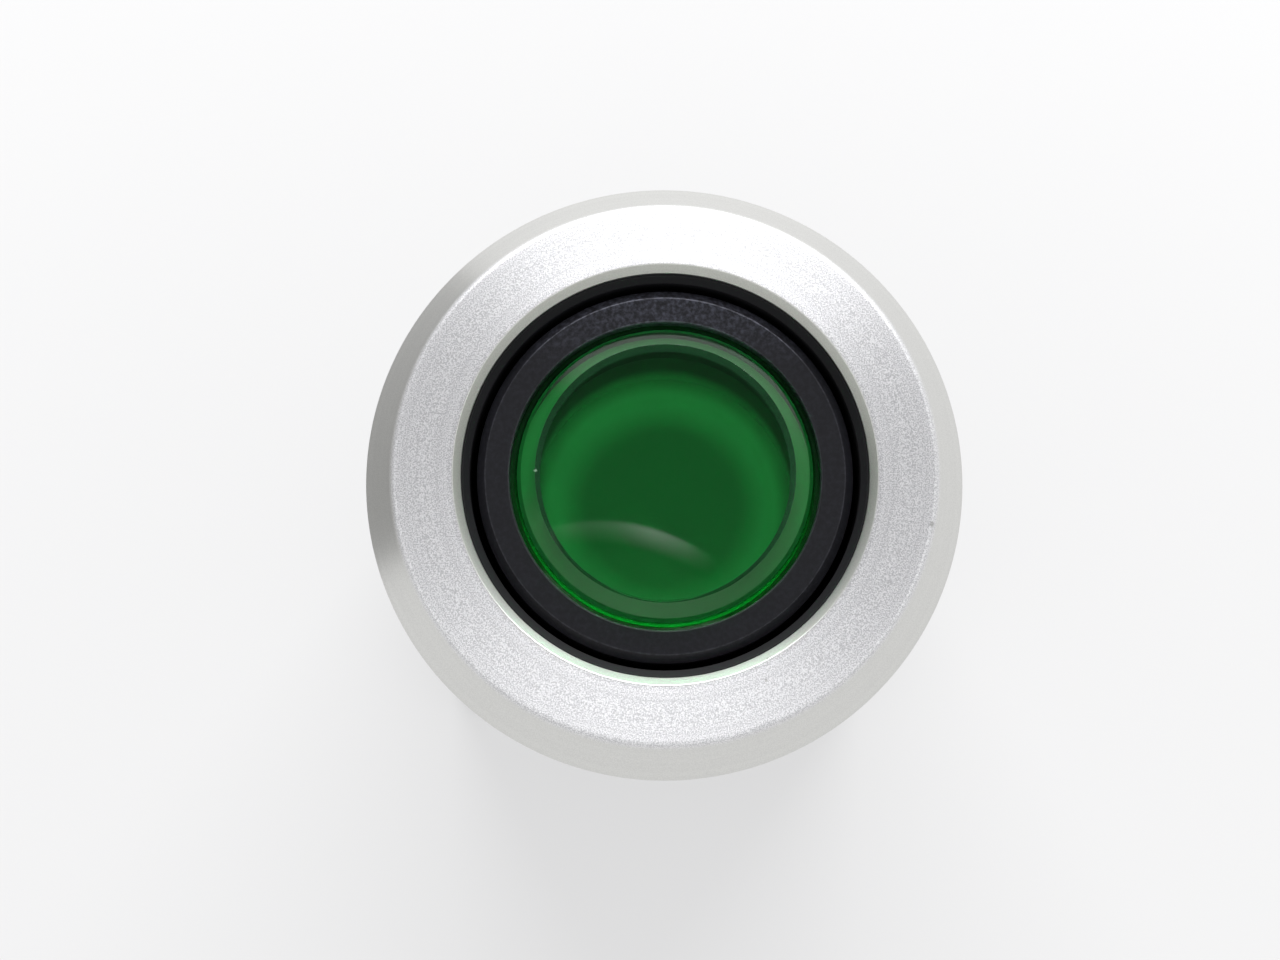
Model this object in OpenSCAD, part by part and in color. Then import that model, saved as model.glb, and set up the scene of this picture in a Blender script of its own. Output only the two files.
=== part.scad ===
// Illuminated push button for a round panel hole.
// Units are millimetres. Z = 0 is the front of the panel, and the button faces up along +Z.

/* [Bezel] */
// Radial overhang of the bezel past the barrel, at its foot
bezel_over = 3.75; // [3.4:0.05:5]
// Height of the bezel above the panel
bezel_h = 3.4; // [3.2:0.1:5]
// Radial width of the conical flank
flank_w = 1.55; // [0.8:0.05:2]
// Height of the straight land at the foot
foot_land = 0.4; // [0.2:0.1:0.8]
// Chamfer at the mouth of the bezel
mouth_chamfer = 0.4; // [0.2:0.05:0.6]
// Straight lip under the mouth chamfer
lip_t = 0.25; // [0.2:0.05:0.5]
// How far the lip stands back from the barrel's bore
lip_back = 0.4; // [0.2:0.05:0.6]
// Share of the bezel's overhang over the barrel that its rim takes
rim_share = 0.4; // [0.3:0.05:0.5]

/* [Panel] */
// Thickness of the panel that the nut is set for
panel_t = 3; // [2.4:0.2:6]
// Thickness of the panel gasket
gasket_t = 0.9; // [0.6:0.1:1.2]

/* [Barrel] */
// Diameter of the barrel over the thread
barrel_d = 22; // [21:0.1:22.3]
// Wall of the barrel around the button
barrel_wall = 1.45; // [1.2:0.05:1.8]
// Depth of the thread
thread_depth = 0.6; // [0.4:0.05:0.8]
// Length of the plain shank under the panel's front
shank_len = 1.2; // [0.8:0.1:2]
// Thickness of the barrel's flange
flange_t = 1; // [0.8:0.1:1.2]
// Wall of the barrel's neck inside the bezel
neck_w = 1.9; // [1.4:0.1:2.2]
// Length of the bore that guides the plunger
guide_len = 6.5; // [5.5:0.1:8]
// Length of the wide bore behind the guide
tail_len = 6.2; // [6:0.1:9]
// Length of the plain end behind the thread
end_len = 1.5; // [1:0.1:2]
// Width of the key that stops the barrel from turning
key_w = 3; // [2:0.1:3.4]
// Height of the key over the barrel
key_h = 1; // [0.6:0.1:1.2]
// Length of the key
key_len = 2.2; // [1.5:0.1:2.3]

/* [Button] */
// Travel of the button
travel = 4; // [3:0.1:4.4]
// Radial gap between button ring and barrel
button_gap = 0.35; // [0.25:0.05:0.5]
// Depth of the ring's face below the bezel's face
ring_recess = 0.8; // [0.4:0.05:1.2]
// Height of the button ring
ring_h = 2.6; // [2.5:0.05:3]
// Chamfer at the outer edge of the ring
ring_chamfer = 0.4; // [0.2:0.05:0.6]
// Radial width of the ring around the lens
ring_w = 1.6; // [1.5:0.05:2]
// Thickness of the lip that holds the lens
ring_lip_t = 1; // [0.8:0.05:1.2]

/* [Lens] */
// Radial gap between lens and ring
lens_gap = 0.25; // [0.15:0.05:0.4]
// Height of the lens over the ring's face, at the edge of its land
lens_rise = 0.7; // [0.4:0.05:1.2]
// Rise of the dome over the edge of the land
dome_rise = 0.1; // [0.05:0.05:0.3]
// Radial width of the chamfer around the land
chamfer_w = 0.7; // [0.4:0.05:0.9]
// Height of the chamfer around the land
chamfer_h = 0.5; // [0.3:0.05:0.8]
// Radial width of the steep side below the chamfer
side_w = 0.3; // [0.1:0.05:0.4]
// Height of the steep side below the chamfer
side_h = 0.6; // [0.4:0.05:0.8]
// Thickness of the lens at the edge of its land
lens_t = 1.05; // [0.9:0.05:1.2]
// Radial width of the chamfer inside the lens
inner_chamfer_w = 0.65; // [0.5:0.05:0.7]
// Height of the chamfer inside the lens
inner_chamfer_h = 0.35; // [0.2:0.05:0.5]
// Thickness of the lens flange
lens_flange_t = 0.6; // [0.4:0.05:0.7]
// Radial width of the lens flange
lens_flange_w = 0.75; // [0.5:0.05:0.8]
// Thickness of the lens gasket
lens_gasket_t = 0.4; // [0.3:0.05:0.5]

/* [Plunger] */
// Wall of the plunger tube
tube_wall = 0.85; // [0.8:0.05:1]
// Radial width of the flare at the mouth of the plunger tube
flare_w = 0.6; // [0.4:0.05:0.6]
// Height of the flare at the mouth of the plunger tube
flare_h = 2.6; // [2:0.1:4]
// Depth of the diffuser's rim below the edge of the lens land
light_depth = 11.8; // [11.2:0.1:12]
// Thickness of the diffuser at its rim
diffuser_t = 1.2; // [1:0.1:1.6]
// Radial width of the diffuser's rim
diffuser_rim = 1; // [0.6:0.1:1.4]
// Depth of the dish inside the rim
diffuser_dish = 0.4; // [0.2:0.05:0.6]
// Thickness of the shoulder under the diffuser
seat_t = 1.1; // [0.8:0.1:1.4]
// Thickness of the retaining clip
clip_t = 0.8; // [0.6:0.05:1]
// How deep the clip sits in the plunger
clip_depth = 0.45; // [0.3:0.05:0.5]
// How far the clip stands out of the plunger
clip_reach = 0.9; // [0.6:0.05:1]
// Angle of the retaining clip's arc
clip_arc = 300; // [280:5:320]
// Turn of the retaining clip's arc from the X axis
clip_turn = 140; // [90:5:180]
// Depth of the plunger seal below the top of the guide
seal_down = 2.2; // [1.6:0.1:3]
// Thickness of the plunger seal
seal_d = 0.9; // [0.7:0.05:1]

/* [Lamp] */
// Radial room around the lamp for the return spring
spring_room = 1.6; // [1.4:0.05:1.8]
// Radial step from the lamp's cap to its dome
dome_step = 0.2; // [0.1:0.05:0.4]
// Length of the lamp
lamp_len = 20.6; // [20.2:0.1:22]
// Length of the lamp's cap
cap_len = 10.8; // [10:0.1:11.2]
// Length of the insulator under the cap
insulator_len = 1; // [0.8:0.1:1.4]
// Length of the lamp's tip
tip_len = 0.6; // [0.4:0.1:0.8]
// Diameter of the lamp's tip
tip_d = 3.2; // [2.4:0.1:4]
// How far the pad of the centre contact reaches past the tip
pad_over = 1; // [0.6:0.1:1.2]
// Diameter of the bayonet pins
pin_d = 1.6; // [1.4:0.1:2]
// Height of the pins over the end of the cap
pin_up = 4.2; // [3.8:0.1:5]
// Angle that the lamp turns to lock
lock_angle = 25; // [20:1:35]
// Turn of the bayonet slots from the X axis
slot_turn = 15; // [0:1:30]
// Wall of the lamp shell
shell_t = 0.5; // [0.4:0.05:0.6]

/* [Nut] */
// Height of the ring nut
nut_h = 4.2; // [3.5:0.1:5]
// How far the ring nut stands out past the flange
nut_over = 0.15; // [0:0.05:0.3]
// Number of grip notches in the nut
nut_notches = 16; // [12:1:20]
// Radius of the grip notches
notch_r = 1; // [0.7:0.1:1.2]
// Depth of the grip notches
notch_depth = 0.65; // [0.4:0.05:0.8]
// Thickness of the lock washer
washer_t = 0.8; // [0.6:0.1:1]
// How far the lock washer stands back from the flange's edge
washer_back = 0.15; // [0:0.05:0.3]
// Number of teeth on the lock washer
washer_teeth = 18; // [12:1:24]

/* [Collar] */
// Radial wall of the collar
collar_w = 1.6; // [1.4:0.1:2]
// Thickness of the collar's floor
collar_floor = 2; // [1.6:0.1:2.6]
// Gap between nut and collar
collar_gap = 1.2; // [0.8:0.1:2]
// Width of the hooks that hold the block
hook_w = 6; // [4:0.2:8]
// Thickness of the hooks
hook_t = 1.2; // [1:0.1:1.4]
// Length of the hooks below the collar
hook_len = 5.4; // [4.4:0.1:7]
// Reach of the barb into the block
barb = 0.6; // [0.4:0.05:0.8]
// Turn of the set screw from the X axis
set_screw_turn = 45; // [30:1:60]
// Diameter of the set screw
set_screw_d = 2.5; // [2:0.1:3]

/* [Switch block] */
// Radius of the block's corners
block_r = 4.2; // [3:0.1:5]
// Thickness of the block's top wall
top_t = 1.2; // [1:0.1:1.6]
// Thickness of the side covers
cover_t = 1.1; // [0.9:0.05:1.3]
// Wall between lamp bore and contact chamber
inner_wall = 1.05; // [0.9:0.05:1.2]

/* [Contacts] */
// Half depth of the pusher
pusher_half = 2.3; // [2:0.05:2.6]
// Height of the pusher's body
pusher_h = 8; // [7.6:0.1:8.6]
// Wall of the pusher around its window
pusher_wall = 1.2; // [1:0.05:1.3]
// Wall of the pusher beside its window
pusher_side = 0.75; // [0.6:0.05:1]
// Width of the pusher's stem
stem_w = 1.6; // [1.3:0.05:1.7]
// Half depth of the pusher's stem
stem_half = 1.6; // [1.2:0.05:1.7]
// Thickness of the bridge
bridge_t = 0.6; // [0.5:0.05:0.8]
// Distance of the contact tips from the middle
tip_y = 4; // [3.9:0.05:4.1]
// Radius of the contact tips
tip_r = 0.9; // [0.7:0.05:0.95]
// Gap between the contact tips and the riser behind them
tip_back = 0.35; // [0.2:0.05:0.5]
// Height of the contact tips
tip_h = 0.45; // [0.3:0.05:0.5]
// Thickness of the fixed contact's strip
strip_t = 0.6; // [0.5:0.05:0.6]
// Width of the fixed contact's strip
strip_w = 3; // [2.4:0.1:3]
// Gap left between open tips at full travel, and closed tips at rest
tip_gap = 0.05; // [0.02:0.01:0.1]

/* [Terminals] */
// How far the terminals stand inwards of the contacts
term_shift = 0.45; // [0.3:0.05:0.6]
// How far the terminal plates stand back from the block's face
plate_back = 0.9; // [0.6:0.05:1.2]
// Half width of a terminal's notch
notch_half = 2.4; // [2.3:0.05:2.5]
// Thickness of the terminal plates
plate_t = 0.8; // [0.6:0.05:1]
// Gap for the wire under the clamp plate
wire_gap = 1.7; // [1.2:0.1:2]
// Thickness of the clamp plates
clamp_t = 0.8; // [0.6:0.05:1]
// Diameter of the terminal screws
screw_d = 2.5; // [2.2:0.1:2.6]
// Diameter of the screw heads
head_d = 3.6; // [3.4:0.1:3.7]
// Height of the screw heads
head_h = 1.6; // [1.2:0.1:1.8]
// Width of the slot in the screw heads
slot_w = 0.6; // [0.5:0.05:0.8]
// Depth of the slot in the screw heads
slot_depth = 0.8; // [0.5:0.05:0.9]
// How far the screws pass above the terminal plates
screw_over = 0.8; // [0.4:0.1:1]

/* [Springs] */
// Wire of the return spring
return_wire = 0.7; // [0.5:0.05:0.75]
// Turns of the return spring
return_turns = 4.5; // [4:0.5:5]
// Wire of the contact and pusher springs
small_wire = 0.35; // [0.3:0.05:0.4]
// Mean radius of the contact springs
contact_coil_r = 1.1; // [1:0.05:1.2]
// Mean radius of the pusher springs
pusher_coil_r = 1.4; // [1.2:0.05:1.5]
// Turns of the contact springs
contact_turns = 4; // [3:0.5:5]
// Turns of the pusher springs
pusher_turns = 5; // [4:0.5:5.5]

/* [Fits] */
// Radial clearance of parts that slide
slide_fit = 0.05; // [0.03:0.01:0.08]
// Clearance of parts that are pushed together and stay
seat_fit = 0.05; // [0.02:0.01:0.08]
// Clearance around parts that pass without touching
pass_gap = 0.15; // [0.1:0.05:0.2]
// Clearance left at the end of the travel
end_gap = 0.3; // [0.2:0.05:0.4]

/* [Hidden] */
$fn = 96;
// extra length of a cutter past the face it cuts
over = 0.5;
// sides and steps of the spring wire
wire_sides = 8;
turn_steps = 16;

// radii of the front, from the barrel inwards
barrel_r = barrel_d / 2;
bezel_r = barrel_r + bezel_over;
root_r = barrel_r - thread_depth;
chamber_r = barrel_r - barrel_wall;
mouth_r = chamber_r + lip_back;
neck_r = chamber_r + neck_w;
rim_w = rim_share * bezel_over;
flange_r = bezel_r - rim_w;
washer_r = flange_r - washer_back;
nut_r = flange_r + nut_over;
ring_r = chamber_r - button_gap;
window_r = ring_r - ring_w;
lens_r = window_r - lens_gap;
land_r = lens_r - chamfer_w - side_w;
lens_in_r = land_r + inner_chamfer_w;
lens_flange_r = lens_r + lens_flange_w;
ring_bore_r = lens_flange_r + pass_gap;
tube_r = lens_r;
tube_in_r = tube_r - tube_wall;
guide_r = tube_r + slide_fit;
clip_in_r = tube_r - clip_depth;
clip_r = tube_r + clip_reach;
tail_r = clip_r + end_gap;

// heights of the front, from the bezel's face down
ring_top = bezel_h - ring_recess;
head_bottom = ring_top - ring_h;
land_top = ring_top + lens_rise;
lens_under = land_top - lens_t;
neck_top = bezel_h - mouth_chamfer - lip_t;
flange_top = gasket_t + flange_t;
lens_flange_top = ring_top - ring_lip_t;
lens_flange_bottom = lens_flange_top - lens_flange_t;
head_top = lens_flange_bottom - lens_gasket_t;
chamber_floor = head_bottom - travel - end_gap;
guide_end = chamber_floor - guide_len;
barrel_end = guide_end - tail_len;
rim_top = land_top - light_depth;
seat_top = rim_top - diffuser_t;
seat_bottom = seat_top - seat_t;
clip_top = guide_end - slide_fit;
seal_z = chamber_floor - seal_down;
seal_ring_r = guide_r + seal_d / 2 - slide_fit / 2;
seal_groove_r = seal_ring_r + seal_d / 2 + slide_fit / 2;

// heights behind the panel
washer_top = -panel_t;
nut_top = washer_top - washer_t;
nut_bottom = nut_top - nut_h;
collar_top = nut_bottom - collar_gap;
block_top = barrel_end - collar_floor;
tube_end = block_top + travel + end_gap;
lamp_top = seat_top - travel - end_gap - pass_gap;
plate_top = lamp_top - lamp_len;
plate_bottom = plate_top - plate_t;
clamp_top = plate_bottom - wire_gap;
head_seat = clamp_top - clamp_t;
rear = head_seat - head_h - end_gap;

// lamp and its socket
lamp_hole_r = tube_in_r - spring_room;
cap_r = lamp_hole_r - end_gap;
dome_r = cap_r - dome_step;
insulator_top = plate_top + tip_len + insulator_len;
cap_top = insulator_top + cap_len;
pin_z = insulator_top + pin_up;
shell_in_r = cap_r + 2 * slide_fit;
shell_r = shell_in_r + shell_t;
lamp_bore_r = shell_r + seat_fit;
shell_bottom = plate_top + end_gap;
shell_top = block_top - top_t - seat_fit;
pin_reach = shell_r - slide_fit;
slot_half = pin_d / 2 + pass_gap;
lock_half = shell_r * sin(lock_angle / 2) + slot_half;
foot_y = shell_in_r - end_gap;
coil_r = (lamp_hole_r + tube_in_r) / 2;

// contact chambers, drawn on the side of +X
chamber_in = lamp_bore_r + inner_wall;
chamber_out = chamber_in + strip_w + 2 * pusher_side + 4 * pass_gap;
contact_x = (chamber_in + chamber_out) / 2;
block_w = 2 * (chamber_out + cover_t);
pusher_in = chamber_in + pass_gap;
pusher_out = chamber_out - pass_gap;
chamber_top = block_top - top_t;
body_top = chamber_top - pass_gap;
body_bottom = body_top - pusher_h;
stem_in = max(pusher_in, tube_in_r + pass_gap);
bridge_hw = strip_w / 2;
window_in = contact_x - bridge_hw - pass_gap;
window_out = contact_x + bridge_hw + pass_gap;
window_top = body_top - pusher_wall - strip_t;
window_bottom = body_bottom + pusher_wall;
nc_bar_top = window_top;
nc_tip = nc_bar_top + tip_h;
nc_arm_bottom = nc_tip + tip_gap + tip_h;
no_bar_bottom = window_bottom;
no_tip = no_bar_bottom - tip_h;
no_arm_top = no_tip - travel - tip_gap - tip_h;
chamber_floor_z = no_arm_top - strip_t - end_gap;
pocket_r = pusher_coil_r + small_wire / 2 + pass_gap;
pocket_floor = plate_top + end_gap - plate_t;
arm_in = tip_y - tip_r;
bridge_half = tip_y + tip_r;
riser_in = max(lamp_bore_r, bridge_half + tip_back);
riser_out = riser_in + strip_t;
chamber_half = riser_out + pass_gap;
notch_in = riser_in + end_gap;
term_x = contact_x - term_shift;
term_y = notch_in + head_d / 2 + seat_fit;
block_l = 2 * (term_y + head_d / 2 + end_gap);
plate_half = notch_half - pass_gap;
plate_end = block_l / 2 - plate_back;
screw_top = plate_top + screw_over;
cover_top = chamber_top + top_t / 2;
cover_bottom = chamber_floor_z - end_gap;
hook_in = block_l / 2 + seat_fit;
hook_bottom = block_top - hook_len;

// a ring between two radii and two heights
module ring(r_in, r_out, z_low, z_high) {
    rotate_extrude()
        translate([r_in, z_low])
            square([r_out - r_in, z_high - z_low]);
}

// a box between two corners
module box(low, high) {
    translate(low)
        cube(high - low);
}

// a block with rounded upright edges
module rounded_block(w, l, r, z_low, z_high) {
    h = z_high - z_low;
    translate([-w / 2 + r, -l / 2, z_low])
        cube([w - 2 * r, l, h]);
    translate([-w / 2, -l / 2 + r, z_low])
        cube([w, l - 2 * r, h]);
    for (x = [-1, 1], y = [-1, 1])
        translate([x * (w / 2 - r), y * (l / 2 - r), z_low])
            cylinder(r = r, h = h);
}

// height of a spring's wire at turn t: closed end turns, even pitch between them
function coil_z(t, turns, wire, z_low, z_high) =
    let (free = z_high - z_low - 3 * wire)
    t < 1 ? z_low + wire / 2 + wire * t
    : t > turns - 1 ? z_high - wire / 2 - wire * (turns - t)
    : z_low + 1.5 * wire + free * (t - 1) / (turns - 2);

// a coil spring of round wire along Z
module coil(mean_r, wire, turns, z_low, z_high) {
    steps = floor(turns * turn_steps);
    points = [for (i = [0:steps], j = [0:wire_sides - 1])
        let (turn = i / turn_steps, a = 360 * turn, b = 360 * j / wire_sides)
        let (r = mean_r + wire / 2 * cos(b))
        let (z = coil_z(turn, steps / turn_steps, wire, z_low, z_high) + wire / 2 * sin(b))
        [r * cos(a), r * sin(a), z]];
    sides = [for (i = [0:steps - 1], j = [0:wire_sides - 1], k = [0, 1])
        let (a = i * wire_sides + j, b = i * wire_sides + (j + 1) % wire_sides)
        let (c = a + wire_sides, d = b + wire_sides)
        k == 0 ? [a, b, d] : [a, d, c]];
    first = [for (j = [0:wire_sides - 1]) wire_sides - 1 - j];
    last = [for (j = [0:wire_sides - 1]) steps * wire_sides + j];
    polyhedron(points, concat(sides, [first, last]), convexity = 10);
}

module bezel() {
    color("#c8c7c5")
    rotate_extrude()
        polygon([
            [bezel_r, 0], [bezel_r, foot_land], [bezel_r - flank_w, bezel_h],
            [mouth_r + mouth_chamfer, bezel_h], [mouth_r, bezel_h - mouth_chamfer],
            [mouth_r, neck_top], [neck_r + seat_fit, neck_top],
            [neck_r + seat_fit, flange_top], [flange_r + seat_fit, flange_top],
            [flange_r + seat_fit, 0]]);
}

module panel_gasket() {
    color("#2a2a2c")
    ring(barrel_r + seat_fit, flange_r, 0, gasket_t);
}

module barrel() {
    color("#1b1b1e")
    difference() {
        union() {
            rotate_extrude()
                polygon([
                    [guide_r, chamber_floor], [chamber_r, chamber_floor],
                    [chamber_r, neck_top - lip_back], [chamber_r + lip_back, neck_top],
                    [neck_r, neck_top], [neck_r, flange_top], [flange_r, flange_top],
                    [flange_r, gasket_t], [barrel_r, gasket_t], [barrel_r, -shank_len],
                    [root_r, -shank_len - thread_depth], [root_r, barrel_end + end_len],
                    [root_r - end_gap, barrel_end + end_len], [root_r - end_gap, barrel_end],
                    [tail_r, barrel_end], [tail_r, guide_end], [guide_r, guide_end]]);
            box([-key_w / 2, root_r - end_gap, -key_len], [key_w / 2, barrel_r + key_h, 0]);
        }
        ring(guide_r - over, seal_groove_r, seal_z - seal_d / 2 - slide_fit,
            seal_z + seal_d / 2 + slide_fit);
    }
}

module plunger_seal() {
    color("#26262a")
    rotate_extrude()
        translate([seal_ring_r, seal_z])
            circle(d = seal_d);
}

module lock_washer() {
    color("#b9bbbd")
    difference() {
        ring(barrel_r + seat_fit, washer_r, nut_top, washer_top);
        for (i = [0:washer_teeth - 1])
            rotate(360 / washer_teeth * (i + 0.5))
                translate([washer_r, 0, nut_top - over])
                    rotate(45)
                        translate([-washer_t / 2, -washer_t / 2])
                            cube([washer_t, washer_t, washer_t + 2 * over]);
    }
}

module ring_nut() {
    color("#232327")
    difference() {
        ring(root_r + seat_fit, nut_r, nut_bottom, nut_top);
        for (i = [0:nut_notches - 1])
            rotate(360 / nut_notches * i)
                translate([nut_r + notch_r - notch_depth, 0, nut_bottom - over])
                    cylinder(r = notch_r, h = nut_h + 2 * over);
    }
}

module coupling_collar() {
    collar_r = root_r + seat_fit + collar_w;
    color("#3a3b3f") {
        difference() {
            union() {
                ring(root_r + seat_fit, collar_r, block_top, collar_top);
                ring(tail_r, root_r + collar_w / 2, block_top, barrel_end);
            }
            rotate(set_screw_turn)
                translate([root_r - over, 0, (collar_top + barrel_end) / 2])
                    rotate([0, 90, 0])
                        cylinder(d = set_screw_d + 2 * seat_fit, h = collar_w + 2 * over);
        }
        for (s = [0, 1])
            rotate(180 * s) {
                box([-hook_w / 2, hook_in, hook_bottom],
                    [hook_w / 2, hook_in + hook_t, block_top + collar_floor]);
                box([-hook_w / 2, hook_in - barb, hook_bottom],
                    [hook_w / 2, hook_in + hook_t / 2, hook_bottom + hook_t]);
            }
    }
}

module collar_set_screw() {
    color("#8f9194")
    rotate(set_screw_turn)
        translate([root_r, 0, (collar_top + barrel_end) / 2])
            rotate([0, 90, 0])
                difference() {
                    cylinder(d = set_screw_d, h = collar_w);
                    translate([-slot_w / 2, -set_screw_d, collar_w - slot_depth])
                        cube([slot_w, 2 * set_screw_d, slot_depth + over]);
                }
}

// places that hold a terminal, as [x, y direction]
terminals = [[-term_x, 1], [-term_x, -1], [0, 1], [0, -1], [term_x, 1], [term_x, -1]];

// what is cut from the block for one contact set, on the side of +X
module chamber_cut() {
    box([chamber_in, -chamber_half, chamber_floor_z], [block_w, chamber_half, chamber_top]);
    box([chamber_out, -block_l, cover_bottom], [block_w, block_l, cover_top]);
    box([stem_in - pass_gap, -stem_half - pass_gap, chamber_top - over],
        [stem_in + stem_w + pass_gap, stem_half + pass_gap, block_top + over]);
    translate([contact_x, 0, pocket_floor])
        cylinder(r = pocket_r, h = chamber_floor_z - pocket_floor + over);
    for (s = [0, 1])
        mirror([0, s, 0])
            box([contact_x - bridge_hw - seat_fit, riser_in - seat_fit, plate_bottom - seat_fit],
                [contact_x + bridge_hw + seat_fit, riser_out + seat_fit,
                    chamber_floor_z + over]);
}

module block_housing() {
    color("#2b2c30")
    difference() {
        rounded_block(block_w, block_l, block_r, rear, block_top);
        translate([0, 0, block_top - top_t - over])
            cylinder(r = lamp_hole_r, h = top_t + 2 * over);
        translate([0, 0, rear - over])
            cylinder(r = lamp_bore_r, h = chamber_top - rear + over);
        chamber_cut();
        mirror([1, 0, 0])
            chamber_cut();
        for (t = terminals) {
            mirror([0, t[1] < 0 ? 1 : 0, 0]) {
                box([t[0] - notch_half, notch_in, rear - over],
                    [t[0] + notch_half, block_l, plate_top]);
                translate([t[0], term_y, plate_top - over])
                    cylinder(d = screw_d + 2 * pass_gap, h = screw_over + end_gap + over);
            }
        }
        for (s = [0, 1])
            mirror([0, s, 0]) {
                box([-plate_half - seat_fit, 0, plate_bottom],
                    [plate_half + seat_fit, block_l / 2, plate_top]);
                box([-hook_w / 2 - pass_gap, hook_in - barb - pass_gap, hook_bottom - pass_gap],
                    [hook_w / 2 + pass_gap, block_l, hook_bottom + hook_t + seat_fit]);
            }
    }
}

// the cover of one contact chamber, on the side of +X
module block_cover() {
    intersection() {
        rounded_block(block_w, block_l, block_r, cover_bottom + seat_fit, cover_top - seat_fit);
        box([chamber_out + seat_fit, -block_l, rear], [block_w, block_l, block_top]);
    }
}

module block_cover_left() {
    color("#3a3b3f")
    mirror([1, 0, 0])
        block_cover();
}

module block_cover_right() {
    color("#3a3b3f")
    block_cover();
}

// a terminal plate with the hole for its screw
module terminal_plate(x, y_in) {
    difference() {
        box([x - plate_half, y_in, plate_bottom], [x + plate_half, plate_end, plate_top]);
        translate([x, term_y, plate_bottom - over])
            cylinder(d = screw_d + 2 * seat_fit, h = plate_t + 2 * over);
    }
}

// a fixed contact with its arm between two heights and its tip above (up = 1) or below (up = 0)
module fixed_contact(arm_low, up) {
    terminal_plate(term_x, notch_in + seat_fit);
    box([contact_x - bridge_hw, riser_in, plate_bottom],
        [contact_x + bridge_hw, riser_out, arm_low + strip_t]);
    box([contact_x - bridge_hw, arm_in, arm_low],
        [contact_x + bridge_hw, riser_out, arm_low + strip_t]);
    translate([contact_x, tip_y, up == 1 ? arm_low + strip_t - seat_fit : arm_low - tip_h])
        cylinder(r = tip_r, h = tip_h + seat_fit);
}

module fixed_contact_no_a() {
    color("#c58a4a")
    rotate(180)
        fixed_contact(no_arm_top - strip_t, 1);
}

module fixed_contact_no_b() {
    color("#c58a4a")
    mirror([1, 0, 0])
        fixed_contact(no_arm_top - strip_t, 1);
}

module fixed_contact_nc_a() {
    color("#c58a4a")
    fixed_contact(nc_arm_bottom, 0);
}

module fixed_contact_nc_b() {
    color("#c58a4a")
    mirror([0, 1, 0])
        fixed_contact(nc_arm_bottom, 0);
}

// a bridge with its tips below (down = 1) or above (down = 0)
module bridge(bar_low, down) {
    tip_low = down == 1 ? bar_low - tip_h : bar_low + bridge_t - seat_fit;
    box([contact_x - bridge_hw, -bridge_half, bar_low],
        [contact_x + bridge_hw, bridge_half, bar_low + bridge_t]);
    for (s = [-1, 1])
        translate([contact_x, s * tip_y, tip_low])
            cylinder(r = tip_r, h = tip_h + seat_fit);
}

module bridge_no() {
    color("#c58a4a")
    mirror([1, 0, 0])
        bridge(no_bar_bottom, 1);
}

module bridge_nc() {
    color("#c58a4a")
    bridge(nc_bar_top - bridge_t, 0);
}

// a pusher with the window for its bridge and contact spring
module pusher() {
    difference() {
        union() {
            box([pusher_in, -pusher_half, body_bottom], [pusher_out, pusher_half, body_top]);
            box([stem_in, -stem_half, body_top - over], [stem_in + stem_w, stem_half, tube_end]);
        }
        box([window_in, -block_l, window_bottom], [window_out, block_l, window_top]);
    }
}

module pusher_no() {
    color("#2f7d3f")
    mirror([1, 0, 0])
        pusher();
}

module pusher_nc() {
    color("#b3342c")
    pusher();
}

module lamp_shell() {
    color("#b5893f") {
        difference() {
            ring(shell_in_r, shell_r, plate_bottom, shell_top);
            box([-block_w, -block_w, plate_bottom - over], [block_w, foot_y, shell_bottom]);
            for (s = [0, 1])
                rotate(180 * s + slot_turn) {
                    box([0, -slot_half, pin_z], [block_w, slot_half, shell_top + over]);
                    rotate(-lock_angle / 2)
                        box([0, -lock_half, pin_z - slot_half],
                            [block_w, lock_half, pin_z + slot_half]);
                }
        }
        terminal_plate(0, shell_in_r + shell_t / 2);
    }
}

module lamp_centre_contact() {
    color("#b5893f")
    mirror([0, 1, 0]) {
        translate([0, 0, plate_bottom])
            cylinder(d = tip_d + 2 * pad_over, h = plate_t);
        box([-tip_d / 2, 0, plate_bottom], [tip_d / 2, notch_in + end_gap, plate_top]);
        terminal_plate(0, notch_in);
    }
}

module lamp_base_plug() {
    color("#3a3b3f")
    translate([0, 0, rear + end_gap])
        cylinder(r = shell_r, h = plate_bottom - rear - end_gap);
}

module terminal_screws() {
    color("#b9bbbd")
    for (t = terminals)
        translate([t[0], t[1] * term_y, 0])
            difference() {
                union() {
                    translate([0, 0, head_seat - head_h])
                        cylinder(d = head_d, h = head_h);
                    translate([0, 0, head_seat - seat_fit])
                        cylinder(d = screw_d, h = screw_top - head_seat + seat_fit);
                }
                translate([-head_d, -slot_w / 2, head_seat - head_h - over])
                    cube([2 * head_d, slot_w, slot_depth + over]);
            }
}

module clamp_plates() {
    color("#a9abad")
    for (t = terminals)
        mirror([0, t[1] < 0 ? 1 : 0, 0])
            difference() {
                box([t[0] - plate_half, notch_in + pass_gap, head_seat],
                    [t[0] + plate_half, plate_end, clamp_top]);
                translate([t[0], term_y, head_seat - over])
                    cylinder(d = screw_d + 2 * seat_fit, h = clamp_t + 2 * over);
            }
}

module led_cap() {
    color("#b9bbbd") {
        translate([0, 0, insulator_top])
            cylinder(r = cap_r, h = cap_len);
        for (s = [0, 1])
            rotate(180 * s + slot_turn - lock_angle)
                translate([0, 0, pin_z])
                    rotate([0, 90, 0])
                        cylinder(d = pin_d, h = pin_reach);
    }
}

module led_insulator() {
    color("#202022")
    translate([0, 0, plate_top + tip_len])
        cylinder(r1 = tip_d / 2 + insulator_len, r2 = cap_r - end_gap, h = insulator_len);
}

module led_tip() {
    color("#b9bbbd")
    translate([0, 0, plate_top])
        cylinder(d1 = tip_d - tip_len, d2 = tip_d, h = tip_len);
}

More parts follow.
